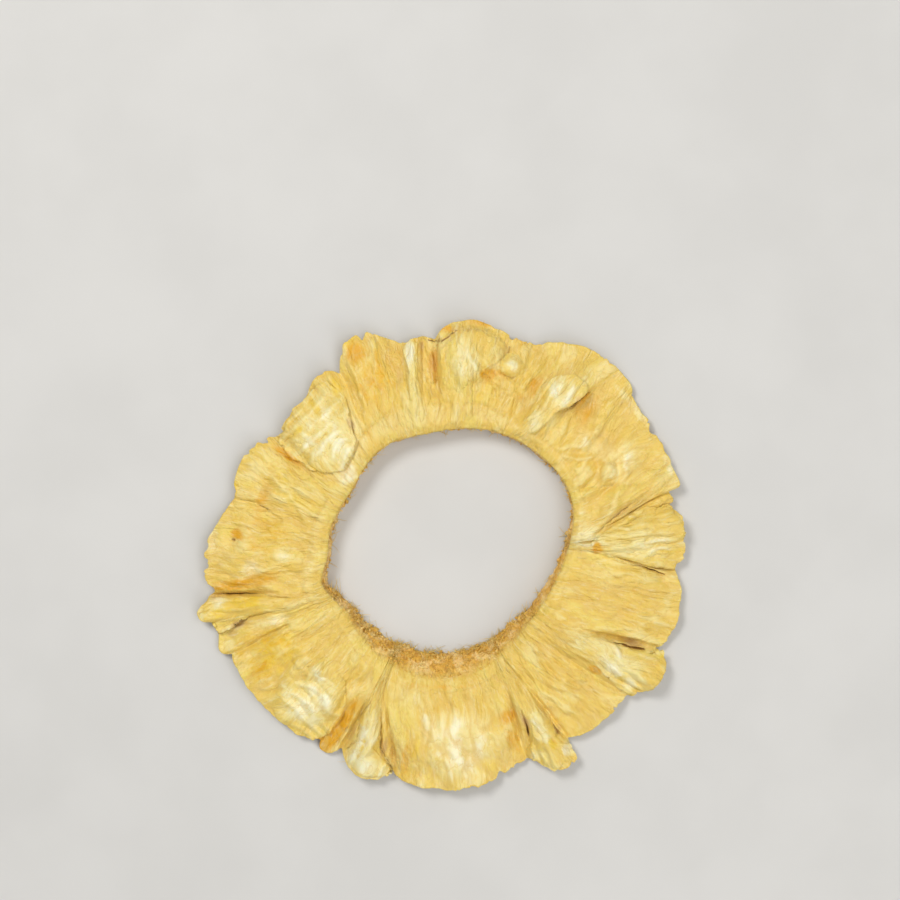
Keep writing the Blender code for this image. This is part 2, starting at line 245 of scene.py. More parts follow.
# Stains, and painted highlight and shade laid on the same way: angle, radius, half-size round the ring,
# half-size along the radius, strength
# Paler flesh: mostly its own dry, whitish colour, with some painted highlights marked below
PALE_STAINS_AND_HIGHLIGHTS = (
    (132.5, 31.0, 7.4, 7.6, 0.82),
    (131.0, 27.4, 4.4, 3.0, 0.75),
    (138.0, 22.9, 2.6, 2.0, 0.9),
    (125.0, 37.0, 3.0, 2.2, 0.4),
    (82.8, 35.4, 2.4, 3.0, 0.8),
    (83.0, 37.8, 4.5, 4.6, 0.5),
    # Painted highlight on the glossy bump
    (70.4, 37.1, 1.5, 1.3, 0.85),
    (70.4, 33.6, 2.4, 1.0, 0.6),
    # Painted highlight below the raised leaf
    (56.8, 30.2, 1.5, 2.6, 1.0),
    (54.5, 37.2, 3.4, 3.8, 0.9),
    (51.0, 41.5, 5.0, 1.2, 0.5),
    (98.9, 37.6, 1.4, 3.2, 0.95),
    (100.0, 32.0, 1.1, 4.5, 0.5),
    (95.9, 33.0, 0.7, 6.0, 0.6),
    (175.0, 41.8, 3.2, 1.3, 0.8),
    (183.0, 34.5, 2.8, 2.6, 0.8),
    (178.0, 28.8, 2.4, 2.2, 0.7),
    (171.0, 35.0, 5.0, 3.6, 0.5),
    (180.0, 39.0, 4.0, 2.4, 0.4),
    (191.7, 41.4, 1.5, 2.0, 1.0),
    (193.6, 45.2, 1.6, 0.9, 0.8),
    (198.6, 40.6, 0.8, 3.6, 0.7),
    (200.4, 33.0, 1.3, 5.4, 0.85),
    (202.2, 42.2, 1.6, 2.0, 0.7),
    (227.0, 36.8, 6.0, 5.0, 0.92),
    (229.0, 33.2, 3.2, 1.2, 0.9),
    (224.0, 30.6, 4.4, 1.5, 0.8),
    (247.0, 35.0, 2.2, 6.6, 1.0),
    (249.5, 40.6, 4.2, 2.6, 1.0),
    (253.5, 41.0, 2.4, 1.6, 0.6),
    (275.0, 34.5, 7.0, 6.0, 0.95),
    (278.0, 31.4, 3.0, 2.0, 0.4),
    (276.0, 38.6, 8.0, 3.4, 0.6),
    (271.0, 30.0, 9.0, 3.4, 0.6),
    (268.0, 42.0, 10.0, 1.2, 0.4),
    (300.0, 36.0, 1.9, 5.0, 0.85),
    (295.6, 40.2, 1.6, 1.6, 0.8),
    (303.6, 42.0, 1.7, 1.6, 1.0),
    (299.6, 43.4, 1.4, 1.2, 0.6),
    (329.0, 38.0, 3.8, 6.4, 0.85),
    (326.8, 36.6, 1.3, 1.5, 1.0),
    (332.0, 33.5, 1.2, 3.4, 0.8),
    (325.4, 41.5, 1.2, 1.2, 0.9),
    (4.0, 37.5, 4.2, 6.0, 0.78),
    (9.0, 26.4, 3.4, 4.0, 0.95),
    (3.0, 31.5, 1.6, 2.6, 0.6),
    (20.0, 27.5, 3.0, 3.0, 0.5),
    (28.0, 37.0, 4.8, 4.2, 0.8),
    (38.0, 34.0, 4.4, 3.4, 0.65),
    # These two: painted highlight along the lit outer edge at the upper right
    (22.0, 44.3, 3.6, 1.0, 0.8),
    (38.0, 44.2, 7.0, 0.8, 0.8),
    (349.0, 41.8, 4.4, 1.4, 0.5),
    (316.0, 36.0, 6.5, 5.0, 0.4),
    (308.0, 31.0, 4.0, 4.0, 0.35),
    (318.0, 25.5, 5.0, 2.2, 0.5),
    (331.0, 28.0, 3.0, 3.0, 0.7),
    (62.0, 42.0, 4.0, 1.2, 0.4),
    (152.0, 36.0, 4.0, 3.0, 0.35),
    (70.0, 26.0, 5.0, 2.4, 0.3),
)
AMBER_STAINS_AND_SHADOW = (
    (4.6, 28.0, 1.1, 1.1, 1.0),
    (18.5, 38.4, 1.4, 2.4, 0.4),
    (47.2, 38.0, 2.2, 2.8, 0.75),
    (44.0, 35.0, 2.4, 2.0, 0.3),
    (62.2, 35.5, 1.3, 3.4, 0.6),
    (65.0, 32.5, 1.2, 1.4, 0.5),
    (76.4, 34.4, 1.7, 1.1, 0.95),
    (73.0, 35.2, 1.6, 0.8, 0.6),
    (92.9, 35.1, 1.3, 3.2, 0.6),
    (88.0, 41.6, 3.4, 0.9, 0.55),
    (80.0, 43.2, 5.0, 0.8, 0.5),
    (71.0, 42.0, 3.0, 1.0, 0.4),
    (113.0, 40.6, 2.2, 2.0, 0.6),
    (111.0, 35.0, 5.6, 6.4, 0.46),
    (104.0, 38.0, 2.4, 2.4, 0.3),
    (136.0, 31.0, 0.9, 1.6, 0.45),
    # Painted shadow along the white flap's lower-left edge
    (146.2, 34.0, 0.7, 3.6, 0.95),
    (161.0, 34.2, 3.2, 1.4, 0.6),
    (173.0, 37.5, 1.1, 1.0, 0.9),
    (187.4, 38.0, 1.2, 4.6, 0.85),
    (186.4, 33.0, 1.4, 4.0, 0.6),
    (193.4, 35.5, 1.0, 4.4, 0.25),
    (208.0, 35.0, 4.8, 6.6, 0.36),
    (214.0, 39.5, 4.0, 2.6, 0.3),
    (221.0, 39.0, 3.0, 2.4, 0.25),
    (239.0, 36.0, 1.4, 7.0, 0.95),
    (237.0, 41.0, 1.6, 1.6, 0.8),
    (259.6, 36.5, 1.2, 4.4, 0.6),
    (263.0, 40.0, 2.4, 2.0, 0.3),
    (291.0, 36.0, 1.3, 3.4, 0.6),
    (292.5, 31.2, 1.9, 1.5, 0.8),
    (301.4, 38.6, 0.7, 1.6, 0.35),
    (323.8, 34.2, 0.9, 1.7, 0.95),
    (320.0, 33.0, 1.4, 1.2, 0.4),
    (335.6, 36.5, 1.0, 3.4, 0.45),
    (270.0, 23.4, 12.0, 0.8, 0.45),
    (174.0, 33.0, 7.0, 7.0, 0.38),
    (30.0, 36.0, 6.0, 6.0, 0.26),
)
YOLK_STAINS = (
    (192.6, 37.0, 1.0, 5.0, 1.0),
    (194.0, 42.0, 1.0, 2.4, 0.7),
    (300.6, 39.5, 0.8, 1.6, 0.9),
    (2.0, 41.5, 0.9, 2.8, 0.6),
    (356.5, 43.0, 2.0, 1.2, 0.5),
    (130.0, 35.6, 1.0, 2.6, 0.7),
    (138.6, 34.8, 2.2, 0.8, 0.6),
    (121.8, 36.4, 1.2, 2.2, 0.7),
    (326.4, 39.4, 1.6, 1.4, 0.7),
    (335.0, 44.0, 2.6, 0.8, 0.6),
    (171.0, 38.2, 3.0, 1.0, 0.5),
    (160.6, 40.4, 1.4, 2.2, 0.6),
    (168.0, 31.4, 1.2, 2.6, 0.5),
    (209.0, 35.5, 6.2, 7.5, 0.62),
    (111.0, 35.5, 6.0, 6.5, 0.5),
    (174.0, 33.0, 7.0, 8.0, 0.36),
    (152.0, 32.0, 5.0, 7.0, 0.36),
    (224.0, 38.6, 3.4, 0.8, 0.6),
    (262.0, 34.0, 1.4, 4.0, 0.5),
    (283.0, 39.0, 3.0, 2.6, 0.5),
    (72.0, 36.6, 1.6, 0.8, 0.5),
    (77.0, 31.0, 1.4, 3.0, 0.5),
    (113.0, 42.0, 2.0, 1.4, 0.6),
    (12.0, 35.5, 0.7, 4.0, 0.4),
    (247.0, 37.0, 0.5, 4.0, 0.6),
)
# Painted shade in the hollows beside the cracks
HOLLOW_SHADE_PATCHES = (
    (296.9, 33.2, 0.8, 2.0, 0.9),
    (335.6, 37.8, 1.0, 2.6, 0.8),
    (198.1, 38.8, 0.9, 1.8, 0.9),
    (200.4, 41.0, 1.0, 1.6, 0.6),
    (14.8, 33.4, 0.6, 3.0, 0.6),
    (253.0, 36.0, 0.7, 3.0, 0.75),
    (243.0, 36.8, 0.8, 2.6, 0.6),
    (102.8, 34.0, 1.2, 2.8, 0.5),
    (92.9, 35.0, 1.1, 3.2, 0.55),
    (72.8, 39.4, 1.0, 1.2, 0.5),
    (123.4, 29.6, 0.6, 1.4, 0.7),
    (49.8, 37.0, 0.7, 2.0, 0.6),
    (95.6, 38.6, 0.7, 1.2, 0.8),
    (189.8, 42.4, 0.8, 0.8, 0.6),
    (164.6, 39.8, 0.8, 0.8, 0.7),
    (304.4, 37.8, 0.7, 1.0, 0.6),
    (358.2, 35.5, 0.5, 2.0, 0.5),
)
# Stains and painted light together: the pale list holds some painted highlights, the amber list a painted
# shadow, and the hollow list painted shade
STAINS_AND_PAINTED_LIGHT = (("pale", PALE_STAINS_AND_HIGHLIGHTS), ("amber", AMBER_STAINS_AND_SHADOW), ("yolk", YOLK_STAINS), ("hollow", HOLLOW_SHADE_PATCHES))
# How strongly pale stains show, the painted highlight a crest adds to that, and how deep a crack is where
# its painted shade is darkest
PALE_STRENGTH = 0.86
PALE_ON_CRESTS = 0.3
FULL_CRACK = 1.2

# Areas with fine radial ribs
RIBBED_AREAS = (
    (347.0, 35.0, 6.6, 9.0, 1.0),
    (5.0, 37.0, 4.6, 7.0, 0.9),
    (55.0, 36.0, 2.6, 4.0, 0.8),
    (312.0, 33.0, 5.0, 7.0, 0.7),
    (329.0, 37.0, 3.6, 7.0, 0.7),
    (28.0, 33.0, 6.0, 8.0, 0.4),
    (182.0, 31.0, 6.0, 5.0, 0.3),
    (247.0, 36.0, 2.4, 7.0, 0.7),
)
# Places where the flesh stays smooth, without its finer wrinkles
SMOOTH_AREAS = (
    (249.0, 39.0, 4.0, 4.0, 0.8),
    (30.0, 35.0, 7.0, 7.0, 0.8),
    (42.0, 33.0, 4.0, 5.0, 0.5),
    (55.0, 36.0, 3.0, 5.0, 0.5),
    (275.0, 35.0, 9.0, 7.0, 0.8),
    (312.0, 33.0, 6.0, 6.0, 0.4),
    (182.0, 35.0, 7.0, 6.0, 0.4),
    (208.0, 35.0, 5.0, 6.0, 0.75),
    (228.0, 36.0, 6.0, 5.0, 0.6),
    (112.0, 35.0, 5.0, 5.0, 0.5),
    (133.0, 31.0, 7.0, 7.0, 0.8),
    (193.6, 37.0, 2.6, 8.0, 0.8),
    (70.4, 37.1, 2.4, 2.2, 1.0),
    (247.0, 36.0, 3.0, 7.0, 0.7),
    (299.0, 37.0, 3.4, 8.0, 0.7),
    (329.0, 37.0, 4.0, 6.0, 0.4),
    (310.0, 38.0, 6.0, 4.0, 0.5),
    (5.0, 37.0, 4.6, 7.0, 0.3),
)
# Pleats: an area as above, then the way they run, the distance between them and their height
Pleated = namedtuple("Pleated", "area run size height")
PLEATED = (
    Pleated((347.0, 35.0, 6.6, 8.0, 1.0), 352.0, 0.85, 0.32),
    Pleated((5.0, 37.0, 4.6, 6.0, 1.0), 5.0, 0.9, 0.24),
    Pleated((70.4, 33.4, 3.6, 2.4, 1.0), 164.0, 0.9, 0.34),
    Pleated((28.0, 34.0, 6.5, 7.0, 1.0), 62.0, 2.2, 0.9),
    Pleated((40.0, 32.0, 4.0, 5.0, 1.0), 8.0, 1.5, 0.6),
    Pleated((314.0, 30.0, 6.0, 6.0, 1.0), 334.0, 1.0, 0.3),
    Pleated((224.0, 31.0, 6.0, 4.0, 1.0), 128.0, 1.4, 0.35),
    Pleated((206.0, 29.0, 4.0, 5.0, 1.0), 150.0, 1.4, 0.25),
    Pleated((180.0, 34.0, 6.0, 6.0, 1.0), 15.0, 1.7, 0.3),
    Pleated((155.0, 31.0, 5.0, 6.0, 1.0), 128.0, 1.4, 0.3),
    Pleated((112.0, 33.0, 5.0, 6.0, 1.0), 85.0, 1.8, 0.22),
    Pleated((85.0, 27.5, 12.0, 3.0, 1.0), 85.0, 1.1, 0.2),
    Pleated((275.0, 35.0, 8.0, 6.0, 1.0), 300.0, 2.4, 0.22),
)
# Areas with folds that run across the fibres
FOLDED_AREAS = (
    (72.0, 35.0, 4.4, 5.0, 1.0),
    (222.0, 32.0, 5.5, 4.5, 0.9),
    (38.0, 32.0, 4.0, 4.0, 0.6),
    (153.0, 32.0, 4.0, 4.5, 0.7),
    (110.0, 33.0, 4.5, 4.0, 0.6),
    (172.0, 34.0, 5.0, 4.0, 0.5),
)


def around(angle, middle):
    """Signed degrees from middle to angle, the short way round."""
    return (angle - middle + 180.0) % 360.0 - 180.0


def bell(distance, half_width):
    return np.exp(-((distance / half_width) ** 2))


def ramp(value, low, high):
    """0 below low, 1 above high, smooth between."""
    t = np.clip((value - low) / (high - low), 0.0, 1.0)
    return t * t * (3.0 - 2.0 * t)


def plan_point(angle, radius):
    direction = np.radians(angle)
    return np.stack([radius * np.cos(direction), radius * np.sin(direction), 0.0 * radius], axis=-1)


def polar(points):
    """Angle and radius of each point about the slice's centre."""
    x, y = points[..., 0], points[..., 1]
    return np.degrees(np.arctan2(y, x)), np.hypot(x, y)


def uneven(points, size, seed):
    """Smooth unevenness from -1 to 1 at each point, with features about size across."""
    flat = (points.reshape(-1, 3) / size + SEED_OFFSET * seed).tolist()
    values = np.array([noise.noise(Vector(p)) for p in flat])
    return values.reshape(points.shape[:-1])


def puffs(points, size, seed):
    """Rounded bulges with sharp furrows between, from 0 in a furrow to about 1."""
    return np.minimum(2.2 * np.abs(uneven(points, size, seed)), 1.2)


def grain_place(column, radius, stretch=GRAIN_STRETCH):
    """Where a point lies among the fibres: round the ring, and along them on a squeezed scale."""
    direction = np.radians(column)
    across = GRAIN_RADIUS * np.cos(direction)
    along = GRAIN_RADIUS * np.sin(direction)
    return np.stack([across, along, radius / stretch], axis=-1)


def pleats_along(points, run, size, seed):
    """Uneven pleats, from 0 in a valley to 1 on a fold."""
    turn = math.radians(run)
    aside = points[..., 1] * math.cos(turn) - points[..., 0] * math.sin(turn)
    place = aside / size + 1.8 * uneven(points, 6.0, seed) + 0.4 * uneven(points, 2.4, seed + 1)
    faded = ramp(uneven(points, 4.5, seed + 2), -0.45, 0.15)
    return 0.5 + faded * (np.abs(place % 2.0 - 1.0) - 0.5)


def stain(stains, angle, radius):
    """Strength from 0 to 1 of a set of soft-edged areas."""
    clear = np.ones_like(angle)
    for at, out, half_round, half_along, strength in stains:
        across = around(angle, at) * np.radians(radius) / half_round
        along = (radius - out) / half_along
        clear *= 1.0 - strength * np.exp(-((across**2 + along**2) ** 1.3))
    return 1.0 - clear


def lobes_at(column):
    """For each outline angle: its angle at the hole, the ragged outline's radius, the swell and
    the lift of its lobe there, and how deep it lies in a split."""
    at_hole, outline, swell, lift, split = (np.zeros_like(column) for _ in range(5))
    for lobe, following in zip(LOBES, LOBES[1:] + LOBES[:1]):
        width = (following.start - lobe.start) % 360.0
        root_width = (following.root - lobe.root) % 360.0
        step = (column - lobe.start) % 360.0
        inside = step < width
        along = step[inside] / width
        skew = math.log(0.5) / math.log(lobe.peak)
        crown = 1.0 - np.abs(2.0 * along**skew - 1.0) ** LOBE_FULLNESS
        notch = lobe.notch + (following.notch - lobe.notch) * along
        at_hole[inside] = column[inside] - step[inside] + (lobe.root - lobe.start) + root_width * along
        outline[inside] = notch + (lobe.reach - notch) * crown
        swell[inside] = lobe.swell * crown
        lift[inside] = lobe.lift * crown
        gap = np.radians(np.minimum(step[inside], width - step[inside])) * notch
        depth = np.where(along < 0.5, lobe.split, following.split)
        split[inside] = depth * bell(gap, SPLIT_HALF_WIDTH)
    return at_hole, outline + tatter(column, outline), swell, lift, split


def hole_radius(angle):
    return HOLE_RADIUS + sum(depth * bell(around(angle, at), spread) for at, depth, spread in HOLE_WAVES)


def from_slice_centre(angle, radius):
    direction = np.radians(angle)
    along = HOLE_OFFSET[0] * np.cos(direction) + HOLE_OFFSET[1] * np.sin(direction)
    aside = HOLE_OFFSET[1] * np.cos(direction) - HOLE_OFFSET[0] * np.sin(direction)
    return along + np.sqrt(radius**2 - aside**2)


def wall_lean(angle):
    return WALL_LEAN_LEAST + WALL_LEAN * bell(around(angle, WALL_LEAN_AT), WALL_LEAN_SPREAD)


def along_line(x, y, deg_a, radius_a, deg_b, radius_b):
    """Where a straight line between two places starts, how it runs from there, and the share of
    it, from 0 to 1, at which it passes closest to each point."""
    a = np.array([math.cos(math.radians(deg_a)), math.sin(math.radians(deg_a))]) * radius_a
    b = np.array([math.cos(math.radians(deg_b)), math.sin(math.radians(deg_b))]) * radius_b
    run = b - a
    return a, run, np.clip(((x - a[0]) * run[0] + (y - a[1]) * run[1]) / (run @ run), 0.0, 1.0)


def distance_to(x, y, deg_a, radius_a, deg_b, radius_b):
    """Distance from each point to a straight line between two places."""
    a, run, held = along_line(x, y, deg_a, radius_a, deg_b, radius_b)
    return np.hypot(x - a[0] - held * run[0], y - a[1] - held * run[1])


def crease_relief(x, y):
    return sum(c.height * bell(distance_to(x, y, *c[:4]), c.half_width) for c in CREASES)


def pad_relief(x, y):
    height = np.zeros_like(x)
    for p in PADS:
        turn = math.radians(p.deg)
        along = x * math.cos(turn) + y * math.sin(turn) - p.radius
        across = y * math.cos(turn) - x * math.sin(turn)
        distance = np.hypot(along / p.half_long, across / p.half_wide)
        height += p.height * (1.0 - ramp(distance, 1.0 - p.edge, 1.0 + 0.3 * p.edge))
    return height


def cracks_at(plan):
    """How deep each point lies in a crack or a pin hole, and how high its side stands."""
    x, y = plan[..., 0], plan[..., 1]
    stray_x = x + CRACK_STRAY * uneven(plan, CRACK_STRAY_SIZE, 21)
    stray_y = y + CRACK_STRAY * uneven(plan, CRACK_STRAY_SIZE, 22)
    deep = np.zeros_like(x)
    side = np.zeros_like(x)
    for crack in CRACKS:
        gap = np.full_like(x, 99.0)
        right = np.zeros_like(x)
        depth = np.zeros_like(x)
        for start, end in zip(crack.points, crack.points[1:]):
            a, run, held = along_line(x, y, *start[:2], *end[:2])
            near_x = stray_x - a[0] - held * run[0]
            near_y = stray_y - a[1] - held * run[1]
            distance = np.hypot(near_x, near_y)
            closer = distance < gap
            gap = np.where(closer, distance, gap)
            right = np.where(closer, (near_x * run[1] - near_y * run[0]) / math.sqrt(run @ run), right)
            depth = np.where(closer, start[2] + (end[2] - start[2]) * held, depth)
        deep = np.maximum(deep, depth * bell(gap, crack.half_width))
        aside = np.abs(right)
        beyond = np.sqrt(np.maximum(gap**2 - right**2, 0.0))
        high = np.sign(right) * crack.step * np.exp(-aside / CRACK_REACH) * bell(beyond, CRACK_FADE)
        side += np.where(high > 0.0, high, LOW_SIDE * high)
    for hole in PIN_HOLES:
        gap = distance_to(x, y, hole.deg, hole.radius, hole.deg, hole.radius + 0.3)
        deep = np.maximum(deep, hole.depth * bell(gap, hole.half_width))
    return deep, side


def settle(height):
    """Eases down what would stand above the slice's highest fold."""
    over = np.maximum(height - FOLD_HEIGHT, 0.0)
    return height - over + FOLD_ROOM * np.tanh(over / FOLD_ROOM)


def warp(plan):
    return WARP * uneven(plan, WARP_SIZE, 1)


def fibre_relief(plan, column, seed):
    """Height of the flesh's wrinkles, folds and ribs, and how far each point lies in a furrow and on a
    crest, which set where painted shade and painted highlight go."""
    angle, radius = polar(plan)
    ribbed = stain(RIBBED_AREAS, angle, radius)
    folded = stain(FOLDED_AREAS, angle, radius)
    flat = plan * np.array([1.0, 1.0, 0.0])
    wander = fibre_wander(flat)
    bend = (1.0 - 0.8 * ribbed) * 3.6 * uneven(flat, 8.0, seed + 16)
    grain = column + wander + bend
    crossing = flat + np.stack([uneven(flat, 4.5, seed + k) for k in (12, 13, 14)], axis=-1) * 2.0
    swells = uneven(grain_place(grain, radius, 2.2), 3.2, seed + 6) + 0.5 * uneven(crossing, 3.4, seed + 17)
    folds = uneven(grain_place(grain, radius, 3.4), 1.6, seed + 19)
    pleats = puffs(grain_place(grain, radius, 5.0), 1.7, seed + 7)
    creased = ramp(uneven(flat, 5.0, seed + 20), -0.1, 0.35)
    crumple = puffs(crossing, 3.0, seed + 11)
    small = uneven(grain_place(grain, radius, 3.0), 0.8, seed + 18)
    ribs = uneven(grain_place(column + wander, radius, 9.0), 0.62, seed + 9)
    across = puffs(grain_place(grain, radius * 4.0, 1.4), 3.6, seed + 10)
    pleated = np.zeros_like(radius)
    for k, p in enumerate(PLEATED):
        folds_there = 2.0 * pleats_along(flat, p.run, p.size, seed + 23 + k) - 1.0
        pleated += p.height * stain((p.area,), angle, radius) * folds_there
    height = (
        pleated
        + SWELLS * swells
        + FOLDS * folds
        + PLEATS * (pleats - 0.7)
        + CRUMPLES * creased * (crumple - 0.7)
        + SMALL_WRINKLES * small
        + (RIBS + RIBS_WHERE_RIBBED * ribbed) * ribs
        + CROSS_FOLDS * folded * (across - 0.5)
    )
    furrow = 1.0 - 2.6 * pleats
    furrow = np.maximum(furrow, creased * (1.0 - 3.6 * crumple))
    furrow = np.maximum(furrow, 0.8 * folded * (1.0 - 3.0 * across))
    furrow = np.maximum(furrow, -0.9 * ribbed * ribs)
    furrow = np.clip(furrow - 0.6 * swells - 0.5 * folds, 0.0, 1.0)
    return height, furrow, np.clip(2.2 * height, 0.0, 1.0)


def fibre_wander(plan):
    """How far, in degrees, the fibres stray from running straight out."""
    return 1.8 * uneven(plan, 8.0, 5) + 0.6 * uneven(plan, 3.0, 6)


def top_surface(column, share):
    """Points of the upper face, and how far each lies in a crack, in a furrow and on a crest, which set the
    painted shade in cracks and furrows and the painted highlight on crests. share runs from 0 at the hole's
    rim to 1 at the outline."""
    at_hole, outline, swell, lift, split = lobes_at(column)
    rim = from_slice_centre(at_hole, hole_radius(at_hole)) + wall_lean(at_hole)
    angle = at_hole + (column - at_hole) * ramp(share, 0.0, 1.0)
    plan = plan_point(angle, rim + (outline - 0.45 * EDGE_ROUNDING - rim) * share)
    x, y = plan[..., 0], plan[..., 1]

    taper = BODY_THICKNESS - (BODY_THICKNESS - EDGE_THICKNESS) * ramp(share, 0.35, 1.15)
    lip = RIM_LIP * bell(share - 0.1, 0.16) - RIM_ROUNDING * bell(share, 0.05)
    relief = crease_relief(x, y) + pad_relief(x, y) + WRINKLE * uneven(plan, WRINKLE_SIZE, 2)
    turned, radius = polar(plan)
    behind_pad = bell(around(turned, LEDGE_AT), LEDGE_SPREAD)
    ledge = LEDGE_DEPTH * behind_pad * ramp(radius, LEDGE_RADIUS, LEDGE_RADIUS + LEDGE_SLOPE)
    crown = swell * ramp(share, 0.1, 0.55) + lift * share**2
    parted = split * ramp(share, 0.3, 0.55) * (1.0 - 0.5 * ramp(share, 0.8, 1.0))
    lip_width = LIP_WIDTH + 0.5 * uneven(plan, 6.0, 18)
    lip_width += sum(extra * bell(around(column, at), spread) for at, extra, spread in LIP_WIDER)
    from_rim = (outline - rim) * share
    lip_line = bell(from_rim - lip_width, 0.3) * ramp(uneven(plan, 5.0, 19), -0.5, 0.1)
    band = ramp(from_rim, lip_width + 0.5, lip_width - 0.5)
    flutes = band * uneven(grain_place(column, from_rim, 9.0), 1.7, 24)
    cracked, side = cracks_at(plan)
    fine, furrow, crest = fibre_relief(plan, column, 0)
    fine *= ramp(from_rim, -1.0, lip_width + 2.5)
    plan[..., 2] = (
        taper + lip + relief * ramp(share, -0.05, 0.12) + crown - ledge - parted + warp(plan)
        + fine + side - cracked - LIP_LINE * lip_line + LIP_FLUTES * flutes
    )
    plan[..., 2] = settle(plan[..., 2])
    inside = ramp(share, 0.0, 0.15)
    # Painted shade in the groove of the lip's line; the fluted lip band is painted paler through the crest
    # mask
    furrow = np.maximum(furrow, 0.8 * lip_line)
    crest = np.maximum(crest, (0.7 + 0.5 * flutes) * band)
    return plan, (cracked, furrow * inside, crest * inside)


def spread_columns():
    """Angles of the columns, which crowd where the flesh is cracked."""
    fine = np.linspace(0.0, 360.0, 7201)
    density = np.ones_like(fine)
    for crack in CRACKS:
        for deg, _, _ in crack.points[1:]:
            density += CROWDING * bell(around(fine, deg), CROWD_SPREAD)
    filled = np.concatenate([[0.0], np.cumsum(0.5 * (density[1:] + density[:-1]))])
    return np.interp(np.arange(COLUMNS) / COLUMNS * filled[-1], filled, fine)


def tatter(column, outline):
    """How ragged the outline is, and where it is torn back."""
    plan = plan_point(column, outline)
    coarse = EDGE_TATTER * uneven(plan, EDGE_TATTER_SIZE, 4)
    torn = 0.9 * ramp(uneven(plan, 2.6, 15), 0.25, 0.5) + 0.5 * ramp(uneven(plan, 1.1, 16), 0.3, 0.6)
    frayed = 0.25 + 0.75 * ramp(uneven(plan, 9.0, 17), -0.15, 0.25)
    return coarse + frayed * (0.3 * uneven(plan, 1.0, 13) + 0.14 * uneven(plan, 0.4, 14) - torn)


def under_surface(column, share):
    """Points of the lower face, flat where they rest."""
    at_hole, outline, _, lift, _ = lobes_at(column)
    inner = from_slice_centre(at_hole, hole_radius(at_hole)) + FOOT_ROUNDING
    angle = at_hole + (column - at_hole) * ramp(share, 0.0, 1.0)
    plan = plan_point(angle, inner + (outline - EDGE_ROUNDING - inner) * share)
    curl = lift * UNDER_CURL * ramp(share, 0.45, 1.1)
    fine, _, _ = fibre_relief(plan, column, 40)
    free = warp(plan) + UNDER_WRINKLE * uneven(plan, WRINKLE_SIZE, 3) + curl + 0.6 * fine + 0.15
    plan[..., 2] = np.where(free > REST_CUT, free - REST_CUT, 0.12 * (1.0 - np.exp(free - REST_CUT)))
    return plan


def outline_edge(column, upper, lower):
    """The outline's edge, from its middle up to the top, and from the underside back up to it."""
    _, outline, _, _, _ = lobes_at(column)
    middle = lower + 0.55 * (upper - lower)
    edge_up, edge_down = [], []
    for k in range(EDGE_ROWS):
        turn = 0.5 * math.pi * k / EDGE_ROWS
        plan = plan_point(column, outline - 0.45 * EDGE_ROUNDING * (1.0 - math.cos(turn)))
        plan[:, 2] = middle + (upper - middle) * math.sin(turn)
        edge_up.append(plan)
        turn = 0.5 * math.pi * (k + 0.5) / EDGE_ROWS
        plan = plan_point(column, outline - EDGE_ROUNDING * (1.0 - math.sin(turn)))
        plan[:, 2] = lower + (middle - lower) * (1.0 - math.cos(turn))
        edge_down.append(plan)
    return edge_up, edge_down


def wall_surface(column, share):
    """Points of the hole's wall, torn and crumbly where the corer went through. share runs from 0
    at its foot to 1 at the rim."""
    at_hole, _, _, _, _ = lobes_at(column)
    foot = from_slice_centre(at_hole, hole_radius(at_hole))
    plan = plan_point(at_hole, foot + wall_lean(at_hole) * share**WALL_HOLLOW)
    rim, _ = top_surface(column, np.zeros_like(column))
    low = under_surface(column, np.zeros_like(column))[:, 2] + FOOT_ROUNDING
    plan[:, 2] = low + (rim[:, 2] - low) * share
    inside = ramp(share, 1.0, 0.8)
    torn = WALL_TEARS * uneven(plan, 1.1, 31) + WALL_CRUMBLE * puffs(plan, 0.8, 32)
    torn += WALL_WAVES * uneven(plan, 3.0, 34)
    plan += plan_point(at_hole, np.ones_like(at_hole)) * (torn * inside)[:, None]
    plan[:, 2] += WALL_PITS * uneven(plan, 0.8, 33) * inside * ramp(share, 0.0, 0.2)
    return plan


def deselect_all():
    for obj in bpy.context.selected_objects:
        obj.select_set(False)


def points_of(obj):
    places = np.empty(len(obj.data.vertices) * 3)
    obj.data.vertices.foreach_get("co", places)
    return places.reshape(-1, 3)


def take_shape(obj):
    """Points and faces of a small shape, whose object is then done with."""
    shape = points_of(obj)
    faces = [tuple(face.vertices) for face in obj.data.polygons]
    bpy.data.objects.remove(obj)
    return shape, faces


def set_points(obj, points):
    """Moves every vertex to its place on the slice, in metres in the frame, and none below it."""
    moved = (points + np.array([SLICE_CENTRE[0], SLICE_CENTRE[1], 0.0])) * MM
    moved[:, 2] = np.maximum(moved[:, 2], 0.0)
    obj.data.vertices.foreach_set("co", moved.astype(np.float32).ravel())
    obj.data.update()


def paint(obj, name, values):
    attribute = obj.data.attributes.new(name, "FLOAT", "POINT")
    attribute.data.foreach_set("value", values.astype(np.float32).ravel())


def paint_grain(obj, points, column, radius):
    attribute = obj.data.attributes.new("grain", "FLOAT_VECTOR", "POINT")
    place = grain_place(column + fibre_wander(points * np.array([1.0, 1.0, 0.0])), radius)
    attribute.data.foreach_set("vector", (place * MM).astype(np.float32).ravel())


def paint_flesh(obj, points, column, marks, core):
    """The flesh's stains, the painted shade in its cracks, furrows and hollows, the painted highlight on its
    crests, and where its fibres run.
    """
    cracked, furrow, crest = marks
    angle, radius = polar(points)
    shown = {name: stain(stains, angle, radius) * (1.0 - core) for name, stains in STAINS_AND_PAINTED_LIGHT}
    # Crests brighten the pale stains: a painted highlight
    shown["pale"] *= PALE_STRENGTH + PALE_ON_CRESTS * crest
    # Painted shade on the cracks' floors, strongest where a crack is deepest
    shown["cracked"] = np.clip(cracked / FULL_CRACK, 0.0, 1.0)
    shown.update(furrow=furrow, crest=crest, core=core, smooth=stain(SMOOTH_AREAS, angle, radius))
    for name, values in shown.items():
        paint(obj, name, values)
    paint_grain(obj, points, column, radius)


